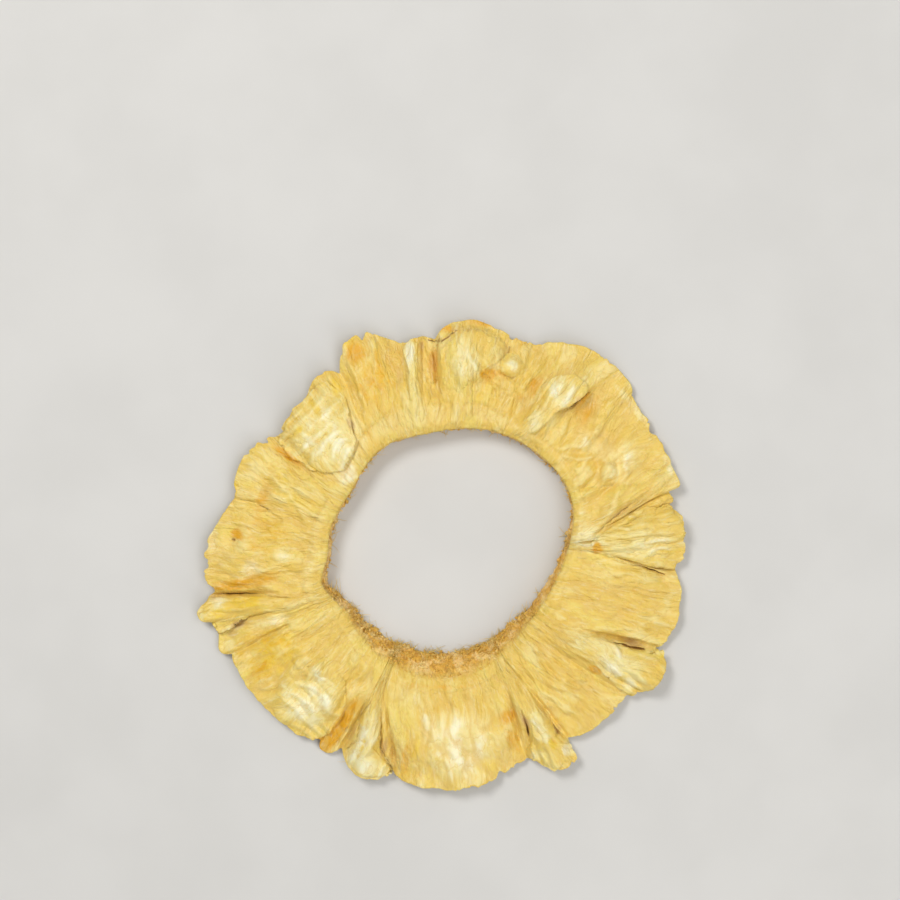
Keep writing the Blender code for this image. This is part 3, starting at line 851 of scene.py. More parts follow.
def make_flesh(material):
    """The slice itself: a flat grid rolled up into the slice's section, and bent round to a ring."""
    rows = 2 * EDGE_ROWS + TOP_ROWS + WALL_ROWS + UNDER_ROWS
    deselect_all()
    bpy.ops.mesh.primitive_grid_add(x_subdivisions=COLUMNS, y_subdivisions=rows, size=1.0)
    flesh = bpy.context.active_object
    flesh.name = flesh.data.name = "flesh"
    flat = points_of(flesh)
    column_of = np.rint((flat[:, 0] + 0.5) * COLUMNS).astype(int) % COLUMNS
    row_of = np.rint((flat[:, 1] + 0.5) * rows).astype(int) % rows
    column = spread_columns()
    top, marks = [], []
    for share in np.linspace(1.0, 0.0, TOP_ROWS):
        points, marked = top_surface(column, np.full_like(column, share))
        top.append(points)
        marks.append(marked)
    under = []
    for share in np.linspace(0.0, 1.0, UNDER_ROWS):
        under.append(under_surface(column, np.full_like(column, share)))
    spare = np.maximum(top[0][:, 2] - EDGE_LEFT - under[-1][:, 2], 0.0)
    for points, share in zip(under, np.linspace(0.0, 1.0, UNDER_ROWS)):
        points[:, 2] += spare * ramp(share, UNDERCUT_FROM, 1.0)
    top[0][:, 2] = np.maximum(top[0][:, 2] - EDGE_DROP * EDGE_ROUNDING, under[-1][:, 2] + LEAST_THICKNESS)
    for k in range(1, THIN_ROWS):
        top[k][:, 2] = np.maximum(top[k][:, 2], under[-1][:, 2] + 0.9 * LEAST_THICKNESS)
    edge_up, edge_down = outline_edge(column, top[0][:, 2], under[-1][:, 2])
    wall_shares = 1.0 - (np.arange(WALL_ROWS) + 1) / (WALL_ROWS + 1)
    wall = [wall_surface(column, np.full_like(column, share)) for share in wall_shares]

    section = np.stack(edge_up + top + wall + under + edge_down)
    marked = np.zeros((3, rows, COLUMNS))
    marked[:, EDGE_ROWS:EDGE_ROWS + TOP_ROWS] = np.array(marks).transpose(1, 0, 2)
    core = np.zeros((rows, COLUMNS))
    for k in range(WALL_ROWS):
        core[EDGE_ROWS + TOP_ROWS + k] = min(1.0, CORE_TINT * (1 + k))
    points = section[row_of, column_of]
    set_points(flesh, points)
    cell = (row_of, column_of)
    paint_flesh(flesh, points, column[column_of], [layer[cell] for layer in marked], core[cell])
    close_seams()
    flesh.data.materials.append(material)
    flesh.data.shade_smooth()
    return flesh


def close_seams():
    """Joins the active piece's meeting edges, and turns its faces outwards."""
    bpy.ops.object.mode_set(mode="EDIT")
    bpy.ops.mesh.select_all(action="SELECT")
    bpy.ops.mesh.remove_doubles(threshold=SEAM_GAP)
    bpy.ops.mesh.normals_make_consistent(inside=False)
    bpy.ops.object.mode_set(mode="OBJECT")


# Loose layers that lie on the flesh. An outline's points go round the flap: angle, radius, and how
# far its edge stands off the flesh there, which is negative where it grows out of it
Flap = namedtuple("Flap", "name puff run pleat fold seed outline")
FLAPS = (
    Flap("white_flap", 0.5, 45.0, 1.05, 0.38, 60, (
        (143.9, 37.2, 0.1), (140.7, 36.6, 0.2), (135.9, 38.0, 0.1), (129.7, 38.0, 0.1), (126.3, 38.6, 0.2),
        (122.6, 38.4, 0.2), (120.8, 34.0, 0.5), (122.2, 31.4, 0.7), (123.6, 29.3, 0.9), (125.0, 26.8, 0.7),
        (128.1, 25.6, 0.5), (132.0, 25.1, 0.4), (137.6, 24.3, 0.2), (142.4, 26.0, 0.2), (145.2, 28.7, 0.2),
        (146.0, 30.8, 0.2), (145.7, 33.5, 0.3), (144.9, 35.5, 0.3),
    )),
    Flap("raised_leaf", 0.5, 50.0, 1.0, 0.42, 61, (
        (59.3, 36.6, 0.5), (58.9, 38.2, 0.5), (57.6, 39.6, 0.5), (54.4, 41.0, 0.4), (51.0, 41.0, 0.5),
        (49.5, 40.0, 0.8), (50.0, 38.0, 1.0), (51.0, 36.0, 0.9), (53.2, 33.6, 0.6), (53.6, 30.5, 0.0),
        (54.2, 26.6, -0.5), (59.2, 26.6, -0.5), (60.0, 31.0, 0.0), (59.6, 34.0, 0.4),
    )),
    Flap("pale_pad", 0.4, 88.0, 1.0, 0.2, 62, (
        (90.4, 37.6, 0.4), (87.6, 39.6, 0.5), (85.2, 41.2, 0.5), (82.2, 41.7, 0.5), (78.4, 41.5, 0.4),
        (75.6, 40.4, 0.2), (73.6, 38.4, 0.0), (76.6, 35.6, 0.0), (79.4, 33.3, -0.3), (83.0, 30.0, -0.5),
        (88.0, 30.0, -0.4), (90.4, 34.0, 0.1),
    )),
    Flap("glossy_bump", 0.9, 70.0, 4.0, 0.0, 75, (
        (73.6, 37.2, -0.2), (72.4, 38.9, -0.1), (69.8, 39.1, -0.1), (67.6, 38.0, -0.2), (67.4, 36.2, -0.2),
        (69.4, 35.2, 0.1), (72.2, 35.5, 0.1),
    )),
    Flap("narrow_strip", 0.3, 98.0, 0.8, 0.2, 63, (
        (102.6, 27.5, -0.4), (100.6, 27.0, -0.4), (98.6, 31.0, 0.1), (97.2, 36.0, 0.2), (96.4, 39.2, 0.1),
        (98.6, 39.9, 0.0), (100.8, 38.8, 0.1), (100.9, 35.0, 0.2), (102.0, 31.0, -0.1),
    )),
    Flap("ribbon", 0.0, 194.0, 0.9, 0.25, 64, (
        (190.0, 43.0, 0.2), (190.5, 40.4, 0.4), (191.0, 37.6, 0.4), (192.1, 33.5, 0.2), (194.0, 29.0, -0.2),
        (197.4, 29.0, -0.3), (197.2, 33.0, -0.1), (196.6, 36.4, 0.3), (197.3, 38.2, 0.8), (198.6, 41.1, 0.8),
        (199.1, 43.2, 0.4), (195.6, 43.7, 0.0), (193.8, 45.6, 0.0), (192.0, 44.6, 0.0),
    )),
    Flap("left_strand", 0.7, 246.5, 1.0, 0.26, 65, (
        (243.8, 27.4, -0.5), (243.4, 29.6, -0.1), (243.1, 32.9, 0.3), (245.4, 36.7, 0.3), (244.0, 39.2, 0.2),
        (245.4, 41.7, 0.1), (248.0, 42.6, 0.0), (252.0, 42.7, 0.1), (256.2, 41.6, 0.2), (256.9, 40.6, 0.3),
        (253.6, 38.2, 0.5), (251.6, 36.6, 0.5), (249.8, 32.7, 0.3), (247.4, 28.4, -0.5),
    )),
    Flap("right_strand", 0.5, 302.0, 0.9, 0.3, 66, (
        (300.0, 28.6, -0.5), (298.0, 31.5, -0.1), (298.2, 34.4, 0.3), (296.4, 36.6, 0.4), (293.9, 38.3, 0.2),
        (292.8, 40.0, 0.0), (295.0, 42.2, 0.0), (297.4, 44.3, 0.0), (299.4, 44.2, 0.1), (300.7, 43.3, 0.1),
        (302.7, 45.0, 0.1), (303.9, 44.2, 0.2), (304.3, 41.6, 0.3), (302.7, 40.0, 0.3), (303.2, 37.4, 0.3),
        (304.6, 34.2, 0.0), (303.8, 30.6, -0.4),
    )),
    Flap("yellow_ridge", 0.4, 318.0, 1.1, 0.34, 67, (
        (331.4, 27.6, -0.4), (333.4, 33.0, 0.3), (334.0, 38.0, 0.6), (335.0, 41.4, 0.4), (337.4, 43.8, 0.0),
        (334.3, 45.2, 0.0), (331.0, 45.6, 0.0), (328.0, 45.2, 0.0), (323.9, 43.2, 0.1), (323.0, 41.7, 0.2),
        (323.8, 38.0, 0.2), (324.2, 36.1, 0.2), (326.2, 33.4, 0.1), (327.6, 28.4, -0.4),
    )),
    Flap("yellow_wedge", 0.2, 4.0, 1.0, 0.3, 68, (
        (5.8, 26.6, -0.3), (9.3, 29.3, 0.1), (12.0, 32.5, 0.3), (14.4, 37.5, 0.3), (13.4, 42.2, 0.1),
        (9.0, 43.8, 0.0), (4.0, 44.3, 0.0), (0.0, 43.9, 0.1), (357.4, 42.2, 0.3), (357.3, 38.6, 0.6),
        (359.3, 34.2, 0.3), (2.8, 29.4, 0.0),
    )),
    Flap("white_fold", 0.3, 137.0, 1.5, 0.35, 69, (
        (231.0, 28.0, -0.3), (236.0, 31.4, 0.1), (237.6, 35.0, 0.3), (237.4, 38.4, 0.4), (234.8, 41.2, 0.2),
        (230.6, 42.2, 0.0), (225.0, 42.2, 0.0), (220.0, 41.0, -0.3), (218.0, 37.0, -0.5),
        (219.4, 32.4, -0.5), (225.0, 28.6, -0.4),
    )),
)
FLAP_THICKNESS = 0.25
FLAP_WRINKLES = 0.2
FLAP_TEAR = 0.3
FLAP_FRAY = 0.14
FLAP_CELLS = 96
FLAP_CLEARANCE = 0.06
EASE_ROUNDS = 60
LAY_FROM = 20.0


def flap_outline(flap, turns):
    """The flap's outline in plan, and how far it stands off, at each fraction of a turn."""
    corners = []
    for deg, radius, lift in flap.outline:
        turn = math.radians(deg)
        corners.append((radius * math.cos(turn), radius * math.sin(turn), lift))
    corners = np.array(corners)
    steps = np.hypot(*(np.roll(corners, -1, axis=0) - corners)[:, :2].T)
    ticks = np.concatenate([[0.0], np.cumsum(steps)]) / steps.sum()
    closed = np.concatenate([corners, corners[:1]])
    even = np.linspace(0.0, 1.0, 401)
    fine = np.stack([np.interp(even[:-1], ticks, closed[:, k]) for k in range(3)], axis=-1)
    for _ in range(6):
        fine = 0.5 * fine + 0.25 * (np.roll(fine, 1, axis=0) + np.roll(fine, -1, axis=0))
    closed = np.concatenate([fine, fine[:1]])
    found = np.stack([np.interp(turns % 1.0, even, closed[:, k]) for k in range(3)], axis=-1)
    return found, corners[:, :2].mean(axis=0)


def make_flap(flap, material, flesh):
    """A thin layer laid on the flesh: a square grid whose border is drawn out to the flap's ragged
    outline, and which is then given its thickness."""
    deselect_all()
    bpy.ops.mesh.primitive_grid_add(x_subdivisions=FLAP_CELLS, y_subdivisions=FLAP_CELLS, size=2.0)
    piece = bpy.context.active_object
    piece.name = piece.data.name = flap.name
    u, v, _ = points_of(piece).T
    round_x = u * np.sqrt(1.0 - 0.5 * v**2)
    round_y = v * np.sqrt(1.0 - 0.5 * u**2)
    out = np.minimum(np.hypot(round_x, round_y), 1.0)
    outline, middle = flap_outline(flap, np.arctan2(round_y, round_x) / (2.0 * math.pi))
    edge = np.concatenate([outline[:, :2], np.zeros((len(out), 1))], axis=-1)
    plan = np.zeros_like(edge)
    plan[:, :2] = middle + (outline[:, :2] - middle) * out[:, None]
    away = outline[:, :2] - middle
    away /= np.hypot(away[:, 0], away[:, 1])[:, None]
    tear = FLAP_TEAR * uneven(edge, 2.2, flap.seed) + FLAP_FRAY * uneven(edge, 0.8, flap.seed + 1)
    tear -= FLAP_TEAR * ramp(uneven(edge, 1.5, flap.seed + 5), 0.2, 0.5)
    plan[:, :2] += away * (tear * out**3)[:, None]

    laid = lay_on(flesh, plan)
    eased = ease(laid)
    stands_off = outline[:, 2] + 0.12 * uneven(edge, 2.4, flap.seed + 2)
    column, radius = polar(plan)
    wrinkles, furrow, crest = fibre_relief(plan, column, flap.seed)
    pleat = 2.0 * pleats_along(plan, flap.run, flap.pleat, flap.seed + 3) - 1.0
    loose = flap.puff * (1.0 - out**2) + stands_off * ramp(out, 0.4, 1.0)
    sleek = stain(SMOOTH_AREAS, column, radius)
    relief = FLAP_WRINKLES * wrinkles * (1.0 - sleek) + flap.fold * pleat * (0.4 + 0.6 * ramp(out, 1.0, 0.8))
    ground = laid + (eased - laid) * ramp(out, 1.0, 0.85)
    sunk = np.minimum(stands_off, 0.0) * ramp(out, 0.4, 1.0)
    lowest = laid + sunk + FLAP_CLEARANCE * ramp(out, 1.0, 0.9)
    plan[:, 2] = np.maximum(settle(ground + loose) + relief, lowest)
    # Painted highlight on the pleats' crests
    crest = np.maximum(0.5 * crest, pleat - 0.1)
    set_points(piece, plan)
    clean = np.zeros_like(column)
    # Painted shade in the pleats' valleys
    furrow = np.maximum(0.5 * furrow, 0.55 * np.clip(-1.2 * pleat - 0.3, 0.0, 1.0))
    paint_flesh(piece, plan, column, (clean, furrow, np.clip(crest, 0.0, 1.0)), clean)
    piece.data.materials.append(material)
    thicken(piece, FLAP_THICKNESS)
    piece.data.shade_smooth()
    return piece


def ease(heights):
    """The heights of a flap's square grid, with the finer wrinkles evened out."""
    side = FLAP_CELLS + 1
    grid = heights.reshape(side, side)
    for _ in range(EASE_ROUNDS):
        held = np.pad(grid, 1, mode="edge")
        grid = 0.25 * (held[2:, 1:-1] + held[:-2, 1:-1] + held[1:-1, 2:] + held[1:-1, :-2])
    return grid.ravel()


def thicken(piece, thickness):
    """Gives a thin layer its thickness, below the face that shows."""
    solidify = piece.modifiers.new("thickness", "SOLIDIFY")
    solidify.thickness = thickness * MM
    solidify.offset = -1.0
    bpy.context.view_layer.objects.active = piece
    bpy.ops.object.modifier_apply(modifier=solidify.name)


def lay_on(flesh, plan):
    """Height of the flesh under each point, or of its nearest edge."""
    heights = np.empty(len(plan))
    down = Vector((0.0, 0.0, -1.0))
    for k, (x, y, _) in enumerate(plan.tolist()):
        above = Vector(((x + SLICE_CENTRE[0]) * MM, (y + SLICE_CENTRE[1]) * MM, LAY_FROM * MM))
        hit, place, _, _ = flesh.ray_cast(above, down)
        if not hit:
            above.z = 0.5 * BODY_THICKNESS * MM
            _, place, _, _ = flesh.closest_point_on_mesh(above)
        heights[k] = place.z / MM
    return heights


# Loose fibres and crumbs: how many, and how a fibre is built
WALL_FIBRES = 800
WALL_CRUMBS = 480
EDGE_FIBRES = 160
FIBRE_SIDES = 3
FIBRE_STEPS = 5
FIBRE_RADIUS = 0.065
FIBRE_TIP = 0.25


def spread_copies(name, places, alongs, lengths, widths, bends, material, core):
    """Copies of a tapering fibre, each set at a place, run along a direction and bent aside."""
    deselect_all()
    bpy.ops.mesh.primitive_cone_add(
        vertices=FIBRE_SIDES, radius1=1.0, radius2=FIBRE_TIP, depth=1.0, location=(0.0, 0.0, 0.5)
    )
    fibre = bpy.context.active_object
    bpy.ops.object.transform_apply(location=True)
    for step in range(1, FIBRE_STEPS):
        bpy.ops.object.mode_set(mode="EDIT")
        bpy.ops.mesh.select_all(action="SELECT")
        bpy.ops.mesh.bisect(plane_co=(0.0, 0.0, step / FIBRE_STEPS), plane_no=(0.0, 0.0, 1.0))
        bpy.ops.object.mode_set(mode="OBJECT")
    shape, faces = take_shape(fibre)
    return join_copies(name, shape, faces, places, alongs, lengths, widths, bends, material, core)


def join_copies(name, shape, faces, places, alongs, lengths, widths, bends, material, core):
    """One mesh of many copies of a small shape, which stands on its Z axis."""
    alongs = alongs / np.linalg.norm(alongs, axis=1)[:, None]
    asides = np.cross(alongs, bends)
    asides /= np.linalg.norm(asides, axis=1)[:, None]
    thirds = np.cross(asides, alongs)
    points = (
        places[:, None, :]
        + alongs[:, None, :] * (shape[:, 2] * lengths[:, None])[..., None]
        + asides[:, None, :] * (shape[:, 0] * widths[:, None])[..., None]
        + thirds[:, None, :] * (shape[:, 1] * widths[:, None])[..., None]
        + bends[:, None, :] * (shape[:, 2] ** 2 * lengths[:, None])[..., None]
    ).reshape(-1, 3)
    all_faces = [tuple(v + k * len(shape) for v in face) for k in range(len(places)) for face in faces]
    mesh = bpy.data.meshes.new(name)
    mesh.from_pydata(points.tolist(), [], all_faces)
    piece = bpy.data.objects.new(name, mesh)
    bpy.context.scene.collection.objects.link(piece)
    set_points(piece, points)
    column, _ = polar(points)
    clean = np.zeros_like(column)
    paint_flesh(piece, points, column, (clean, clean, clean), np.full_like(column, core))
    mesh.materials.append(material)
    mesh.shade_smooth()
    return piece


def wall_places(luck, count):
    """Places on the hole's wall, most of them where it leans back and shows."""
    column = luck.uniform(0.0, 360.0, 4 * count)
    keep = luck.uniform(0.0, 1.0, 4 * count) < 0.18 + 0.82 * bell(around(column, WALL_LEAN_AT), 50.0)
    column = column[keep][:count]
    share = luck.uniform(0.0, 1.0, len(column)) ** 1.4 * 0.92
    return column, share, wall_surface(column, share)


def make_wall_fibres(material):
    luck = np.random.default_rng(11)
    column, share, places = wall_places(luck, WALL_FIBRES)
    inward = -plan_point(column, np.ones_like(column))
    aside = np.stack([inward[:, 1], -inward[:, 0], 0.0 * column], axis=-1)
    up = np.array([0.0, 0.0, 1.0])
    spread = luck.normal(0.0, 1.0, (len(column), 3))
    alongs = inward * 0.8 + up * (0.35 + 0.3 * spread[:, :1]) + aside * 1.1 * spread[:, 1:2]
    bends = aside * 0.5 * spread[:, 2:3] - up * 0.25 + 0.05
    lengths = luck.uniform(0.5, 1.5, len(column)) * (1.5 - 0.8 * share)
    widths = FIBRE_RADIUS * luck.uniform(0.7, 1.5, len(column))
    rooted = places - 0.15 * inward
    return spread_copies("wall_fibres", rooted, alongs, lengths, widths, bends, material, 0.4)


def make_edge_fibres(material):
    luck = np.random.default_rng(12)
    column = luck.uniform(0.0, 360.0, EDGE_FIBRES)
    places, _ = top_surface(column, luck.uniform(0.94, 0.99, EDGE_FIBRES))
    outward = plan_point(column, np.ones_like(column))
    aside = np.stack([-outward[:, 1], outward[:, 0], 0.0 * column], axis=-1)
    spread = luck.normal(0.0, 1.0, (EDGE_FIBRES, 2))
    alongs = outward + aside * 0.6 * spread[:, :1] + np.array([0.0, 0.0, -0.12])
    bends = aside * 0.4 * spread[:, 1:] + np.array([0.0, 0.0, -0.1])
    lengths = luck.uniform(0.4, 1.3, EDGE_FIBRES)
    widths = FIBRE_RADIUS * luck.uniform(0.6, 1.1, EDGE_FIBRES)
    lowered = places - np.array([0.0, 0.0, 0.12])
    return spread_copies("edge_fibres", lowered, alongs, lengths, widths, bends, material, 0.0)


def make_wall_crumbs(material):
    luck = np.random.default_rng(13)
    column, _, places = wall_places(luck, WALL_CRUMBS)
    deselect_all()
    bpy.ops.mesh.primitive_ico_sphere_add(subdivisions=2, radius=0.5, location=(0.0, 0.0, 0.0))
    shape, faces = take_shape(bpy.context.active_object)
    shape *= (1.0 + 0.5 * uneven(shape, 0.45, 41))[:, None]
    turn = np.radians(column)
    round_ring = np.stack([-np.sin(turn), np.cos(turn), 0.0 * column], axis=-1)
    alongs = luck.normal(0.0, 1.0, (len(column), 3)) + 1.5 * round_ring
    bends = luck.normal(0.0, 0.12, (len(column), 3))
    lengths = luck.uniform(0.4, 1.3, len(column))
    widths = luck.uniform(0.25, 0.55, len(column))
    return join_copies("wall_crumbs", shape, faces, places, alongs, lengths, widths, bends, material, 0.8)


FLESH_YELLOW = (0.790, 0.570, 0.128, 1.0)
FLESH_GOLD = (0.775, 0.515, 0.090, 1.0)
FLESH_LEMON = (0.820, 0.650, 0.160, 1.0)
FLESH_PALE = (0.860, 0.725, 0.310, 1.0)
FLESH_CREAM = (0.925, 0.865, 0.580, 1.0)
FLESH_YOLK = (0.820, 0.565, 0.035, 1.0)
FLESH_AMBER = (0.750, 0.392, 0.020, 1.0)
# Painted shade colours: for the hollows beside cracks, and for the furrows and creases
HOLLOW_SHADE_TAN = (0.560, 0.360, 0.150, 1.0)
FURROW_SHADE_TAN = (0.710, 0.480, 0.120, 1.0)
CORE_ORANGE = (0.780, 0.450, 0.070, 1.0)
CORE_PEACH = (0.880, 0.610, 0.240, 1.0)
CORE_BROWN = (0.520, 0.260, 0.040, 1.0)
# Painted shade colour for the floors of cracks
CRACK_SHADE_BROWN = (0.280, 0.130, 0.025, 1.0)
FLOOR_GREYS = ((0.60, 0.595, 0.58, 1.0), (0.63, 0.625, 0.61, 1.0))

# The skin's bump: how far down a crease counts, how strongly it shows, and the whole's distance
WIDE_CREASE = (0.16, 0.68)
SMALL_CREASE = (0.14, 0.22)
FIBRE_BUMP = 0.08
PORE_BUMP = 0.03
BUMP_DISTANCE = 0.0022


class Finish:
    """A procedural material, put together node by node."""

    def __init__(self, name):
        self.material = bpy.data.materials.new(name)
        self.material.use_nodes = True
        self.nodes = self.material.node_tree.nodes
        self.links = self.material.node_tree.links
        self.shader = self.nodes["Principled BSDF"]

    def put(self, socket, value):
        """Gives a socket a plain value, or joins it to another node's output."""
        if isinstance(value, (int, float, tuple)):
            socket.default_value = value
        else:
            self.links.new(value, socket)

    def place(self):
        return self.nodes.new("ShaderNodeTexCoord").outputs["Object"]

    def attribute(self, name, output="Fac"):
        node = self.nodes.new("ShaderNodeAttribute")
        node.attribute_name = name
        return node.outputs[output]

    def math(self, operation, first, second):
        node = self.nodes.new("ShaderNodeMath")
        node.operation = operation
        self.put(node.inputs[0], first)
        self.put(node.inputs[1], second)
        return node.outputs[0]

    def mix(self, fac, first, second):
        """A colour that lies between two."""
        node = self.nodes.new("ShaderNodeMix")
        node.data_type = "RGBA"
        node.clamp_factor = True
        for k, value in ((0, fac), (6, first), (7, second)):
            self.put(node.inputs[k], value)
        return node.outputs[2]

    def between(self, first, second, fac):
        """A place that lies between two."""
        node = self.nodes.new("ShaderNodeMix")
        node.data_type = "VECTOR"
        for k, value in ((0, fac), (4, first), (5, second)):
            self.put(node.inputs[k], value)
        return node.outputs[1]

    def noise(self, vector, scale, detail, roughness=0.5, distortion=0.0):
        node = self.nodes.new("ShaderNodeTexNoise")
        node.inputs["Scale"].default_value = scale
        node.inputs["Detail"].default_value = detail
        node.inputs["Roughness"].default_value = roughness
        node.inputs["Distortion"].default_value = distortion
        self.links.new(vector, node.inputs["Vector"])
        return node.outputs["Fac"]

    def stretch(self, value, low, high, to_low=0.0, to_high=1.0):
        """Carries low to high over to another range, smoothly."""
        node = self.nodes.new("ShaderNodeMapRange")
        node.interpolation_type = "SMOOTHSTEP"
        for k, number in enumerate((value, low, high, to_low, to_high)):
            self.put(node.inputs[k], number)
        return node.outputs[0]

    def blotch(self, vector, scale, low, high, most):
        """Patches with uneven edges."""
        return self.stretch(self.noise(vector, scale, 4.0, 0.55, 0.4), low, high, 0.0, most)

    def creases(self, vector, scale, detail, distortion):
        """Rounded bulges with sharp creases between, which are 0 in a crease."""
        offset = self.math("SUBTRACT", self.noise(vector, scale, detail, 0.5, distortion), 0.5)
        return self.math("ABSOLUTE", offset, 0.0)

    def relief(self, creases, deepest, strength):
        return self.math("MULTIPLY", self.math("MINIMUM", creases, deepest), strength)

    def stain(self, name, streaks, spread, low, high):
        """How strong a painted stain is, with an edge that follows the streaks."""
        uneven_edge = self.math("MULTIPLY", self.math("SUBTRACT", streaks, 0.5), spread)
        return self.stretch(self.math("ADD", self.attribute(name), uneven_edge), low, high)


def make_flesh_material():
    finish = Finish("dried_flesh_fibrous")
    place = finish.place()
    grain = finish.attribute("grain", "Vector")
    streaked = finish.stretch(finish.attribute("smooth"), 0.0, 1.0, 0.62, 0.15)
    rough = finish.stretch(finish.attribute("smooth"), 0.0, 1.0, 1.0, 0.25)
    skin = finish.between(place, grain, streaked)
    streaks = finish.noise(skin, 700.0, 5.0, 0.6, 0.5)
    fine_streaks = finish.noise(grain, 2400.0, 4.0, 0.6, 0.2)
    pores = finish.noise(place, 2400.0, 4.0, 0.6)
    wide_creases = finish.creases(skin, 330.0, 3.0, 0.5)
    small_creases = finish.creases(finish.between(place, grain, 0.35), 800.0, 2.0, 0.4)

    # The flesh's own yellows, then the painted highlight on its crests, its stains, the painted shade in its
    # hollows, furrows and creases, and its threads
    colour = finish.mix(finish.blotch(place, 130.0, 0.4, 0.7, 0.6), FLESH_YELLOW, FLESH_GOLD)
    colour = finish.mix(finish.blotch(skin, 260.0, 0.48, 0.66, 0.7), colour, FLESH_LEMON)
    colour = finish.mix(finish.blotch(skin, 480.0, 0.48, 0.72, 0.6), colour, FLESH_PALE)
    # Painted highlight: crests are painted paler
    crest = finish.stretch(finish.attribute("crest"), 0.2, 1.0, 0.0, 0.55)
    cream_edge = finish.noise(skin, 420.0, 4.0, 0.55)
    yolk = finish.stretch(finish.stain("yolk", streaks, 1.3, 0.2, 0.9), 0.0, 1.0, 0.0, 0.8)
    # Painted shade in the furrows, broken up by the streaks
    furrow_edge = finish.math("MULTIPLY", finish.attribute("furrow"), streaks)
    threads = finish.stretch(fine_streaks, 0.52, 0.72, 0.0, 0.3)
    for strength, tone in (
        (crest, FLESH_PALE),
        (finish.stain("pale", streaks, 1.3, 0.3, 0.8), FLESH_PALE),
        (finish.stain("pale", cream_edge, 1.5, 0.6, 1.12), FLESH_CREAM),
        (yolk, FLESH_YOLK),
        (finish.stain("amber", streaks, 1.1, 0.24, 0.78), FLESH_AMBER),
        # Painted shade in the hollows beside the cracks
        (finish.stain("hollow", streaks, 0.8, 0.2, 1.0), HOLLOW_SHADE_TAN),
        # Painted shade in the furrows and in the bump's wide creases
        (finish.stretch(furrow_edge, 0.0, 0.5, 0.0, 0.55), FURROW_SHADE_TAN),
        (finish.stretch(wide_creases, 0.022, 0.0, 0.0, 0.4), FURROW_SHADE_TAN),
        (finish.math("MULTIPLY", threads, rough), FLESH_CREAM),
    ):
        colour = finish.mix(strength, colour, tone)

    core_grain = finish.stretch(finish.noise(place, 1300.0, 3.0, 0.7), 0.3, 0.6)
    core_colour = finish.mix(core_grain, CORE_BROWN, CORE_ORANGE)
    peach = finish.stretch(finish.noise(place, 420.0, 3.0, 0.6, 0.5), 0.44, 0.62)
    core_colour = finish.mix(peach, core_colour, CORE_PEACH)
    colour = finish.mix(finish.attribute("core"), colour, core_colour)
    # Painted shade in the cracks' floors
    colour = finish.mix(finish.stretch(finish.attribute("cracked"), 0.35, 0.9), colour, CRACK_SHADE_BROWN)

    dull = finish.stretch(finish.math("ADD", fine_streaks, streaks), 0.7, 1.3, 0.3, 0.55)
    fibres = finish.math("MULTIPLY", fine_streaks, FIBRE_BUMP)
    folds = finish.math("ADD", finish.relief(small_creases, *SMALL_CREASE), fibres)
    height = finish.math("ADD", finish.relief(wide_creases, *WIDE_CREASE), folds)
    height = finish.math("MULTIPLY", height, rough)
    height = finish.math("ADD", height, finish.math("MULTIPLY", pores, PORE_BUMP))
    bump = finish.nodes.new("ShaderNodeBump")
    bump.inputs["Strength"].default_value = 1.0
    bump.inputs["Distance"].default_value = BUMP_DISTANCE
    finish.put(bump.inputs["Height"], height)
    for socket, value in (
        ("Base Color", colour),
        ("Roughness", dull),
        ("Normal", bump.outputs["Normal"]),
        ("Specular IOR Level", 0.38),
        ("Subsurface Weight", 0.25),
        ("Subsurface Radius", (1.0, 0.75, 0.4)),
        ("Subsurface Scale", 0.0005),
    ):
        finish.put(finish.shader.inputs[socket], value)
    return finish.material


def make_floor():
    deselect_all()
    bpy.ops.mesh.primitive_plane_add(size=3.0, location=(0.0, 0.0, 0.0))
    floor = bpy.context.active_object
    floor.name = floor.data.name = "studio_floor"
    finish = Finish("pale_floor")
    mottle = finish.stretch(finish.noise(finish.place(), 40.0, 3.0), 0.3, 0.7)
    finish.put(finish.shader.inputs["Base Color"], finish.mix(mottle, *FLOOR_GREYS))
    finish.put(finish.shader.inputs["Roughness"], 0.7)
    floor.data.materials.append(finish.material)


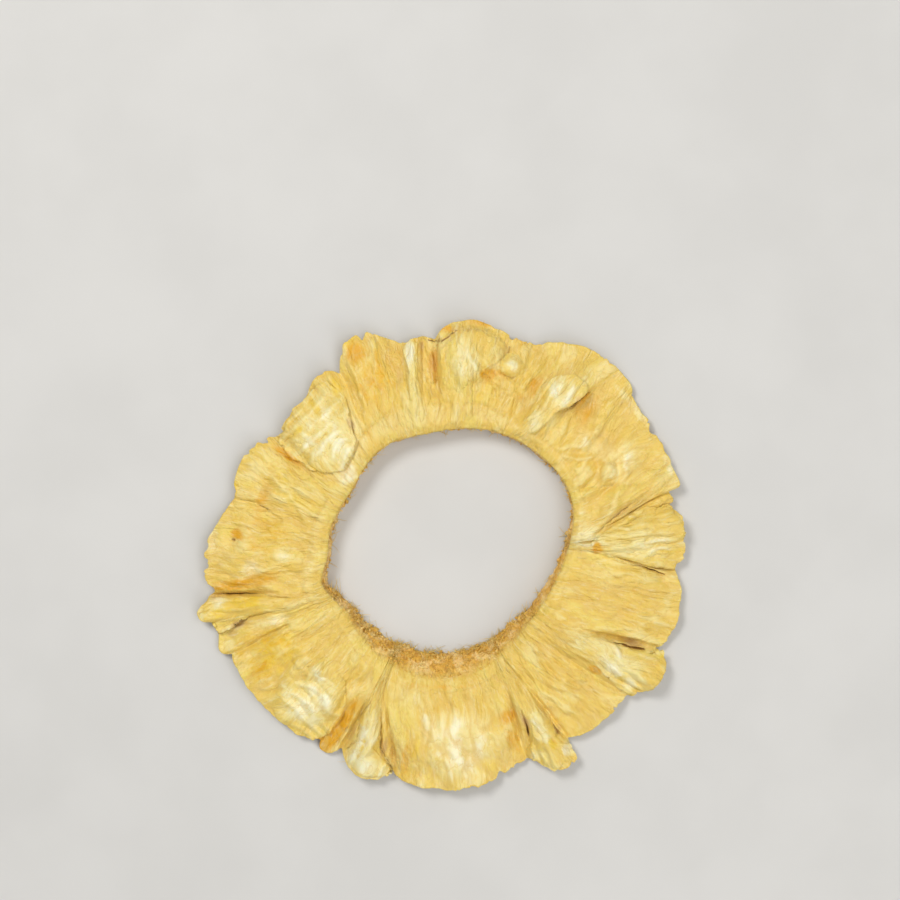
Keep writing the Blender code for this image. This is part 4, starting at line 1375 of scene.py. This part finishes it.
# Lights: name, place, size, power and colour
LIGHTS = (
    ("window", (-0.26, 0.34, 0.56), 0.24, 2.55, (1.0, 0.985, 0.96)),
    ("overhead", (0.22, 0.05, 0.70), 0.6, 1.9, (1.0, 0.99, 0.97)),
    ("bounce", (0.30, -0.42, 0.36), 0.5, 1.2, (1.0, 0.985, 0.96)),
)
SURROUND = ((1.0, 0.985, 0.96, 1.0), 0.285)


def add_light(name, location, size, power, colour):
    data = bpy.data.lights.new(name, "AREA")
    data.shape = "DISK"
    data.size = size
    data.energy = power
    data.color = colour
    light = bpy.data.objects.new(name, data)
    bpy.context.scene.collection.objects.link(light)
    light.location = location
    light.rotation_euler = (-Vector(location)).to_track_quat("-Z", "Y").to_euler()


def make_studio():
    world = bpy.data.worlds.new("studio")
    bpy.context.scene.world = world
    world.use_nodes = True
    backdrop = world.node_tree.nodes["Background"]
    backdrop.inputs["Color"].default_value, backdrop.inputs["Strength"].default_value = SURROUND
    for light in LIGHTS:
        add_light(*light)
    bpy.context.scene.view_settings.view_transform = "Standard"


# The camera looks down on the slice, tilted a little from its +Y side
SENSOR_WIDTH = 36.0
FRAME_WIDTH = 0.162
CAMERA_DISTANCE = 0.40
CAMERA_TILT = math.radians(5.5)
CAMERA_AIM = (0.0018, 0.0197, 0.004)


def make_camera():
    data = bpy.data.cameras.new("camera")
    data.sensor_width = SENSOR_WIDTH
    data.lens = SENSOR_WIDTH * CAMERA_DISTANCE / FRAME_WIDTH
    data.clip_start = 0.01
    camera = bpy.data.objects.new("camera", data)
    bpy.context.scene.collection.objects.link(camera)
    away = Vector((0.0, math.sin(CAMERA_TILT), math.cos(CAMERA_TILT)))
    camera.location = Vector(CAMERA_AIM) + CAMERA_DISTANCE * away
    camera.rotation_euler = (-CAMERA_TILT, 0.0, 0.0)
    bpy.context.scene.camera = camera


make_camera()
make_studio()
make_floor()
flesh_material = make_flesh_material()
flesh = make_flesh(flesh_material)
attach(flesh, "root")
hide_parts("pineapple_ring")
for flap in FLAPS:
    piece = make_flap(flap, flesh_material, flesh)
    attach(piece, "root")
for make_loose in (make_wall_fibres, make_wall_crumbs, make_edge_fibres):
    piece = make_loose(flesh_material)
    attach(piece, "root")
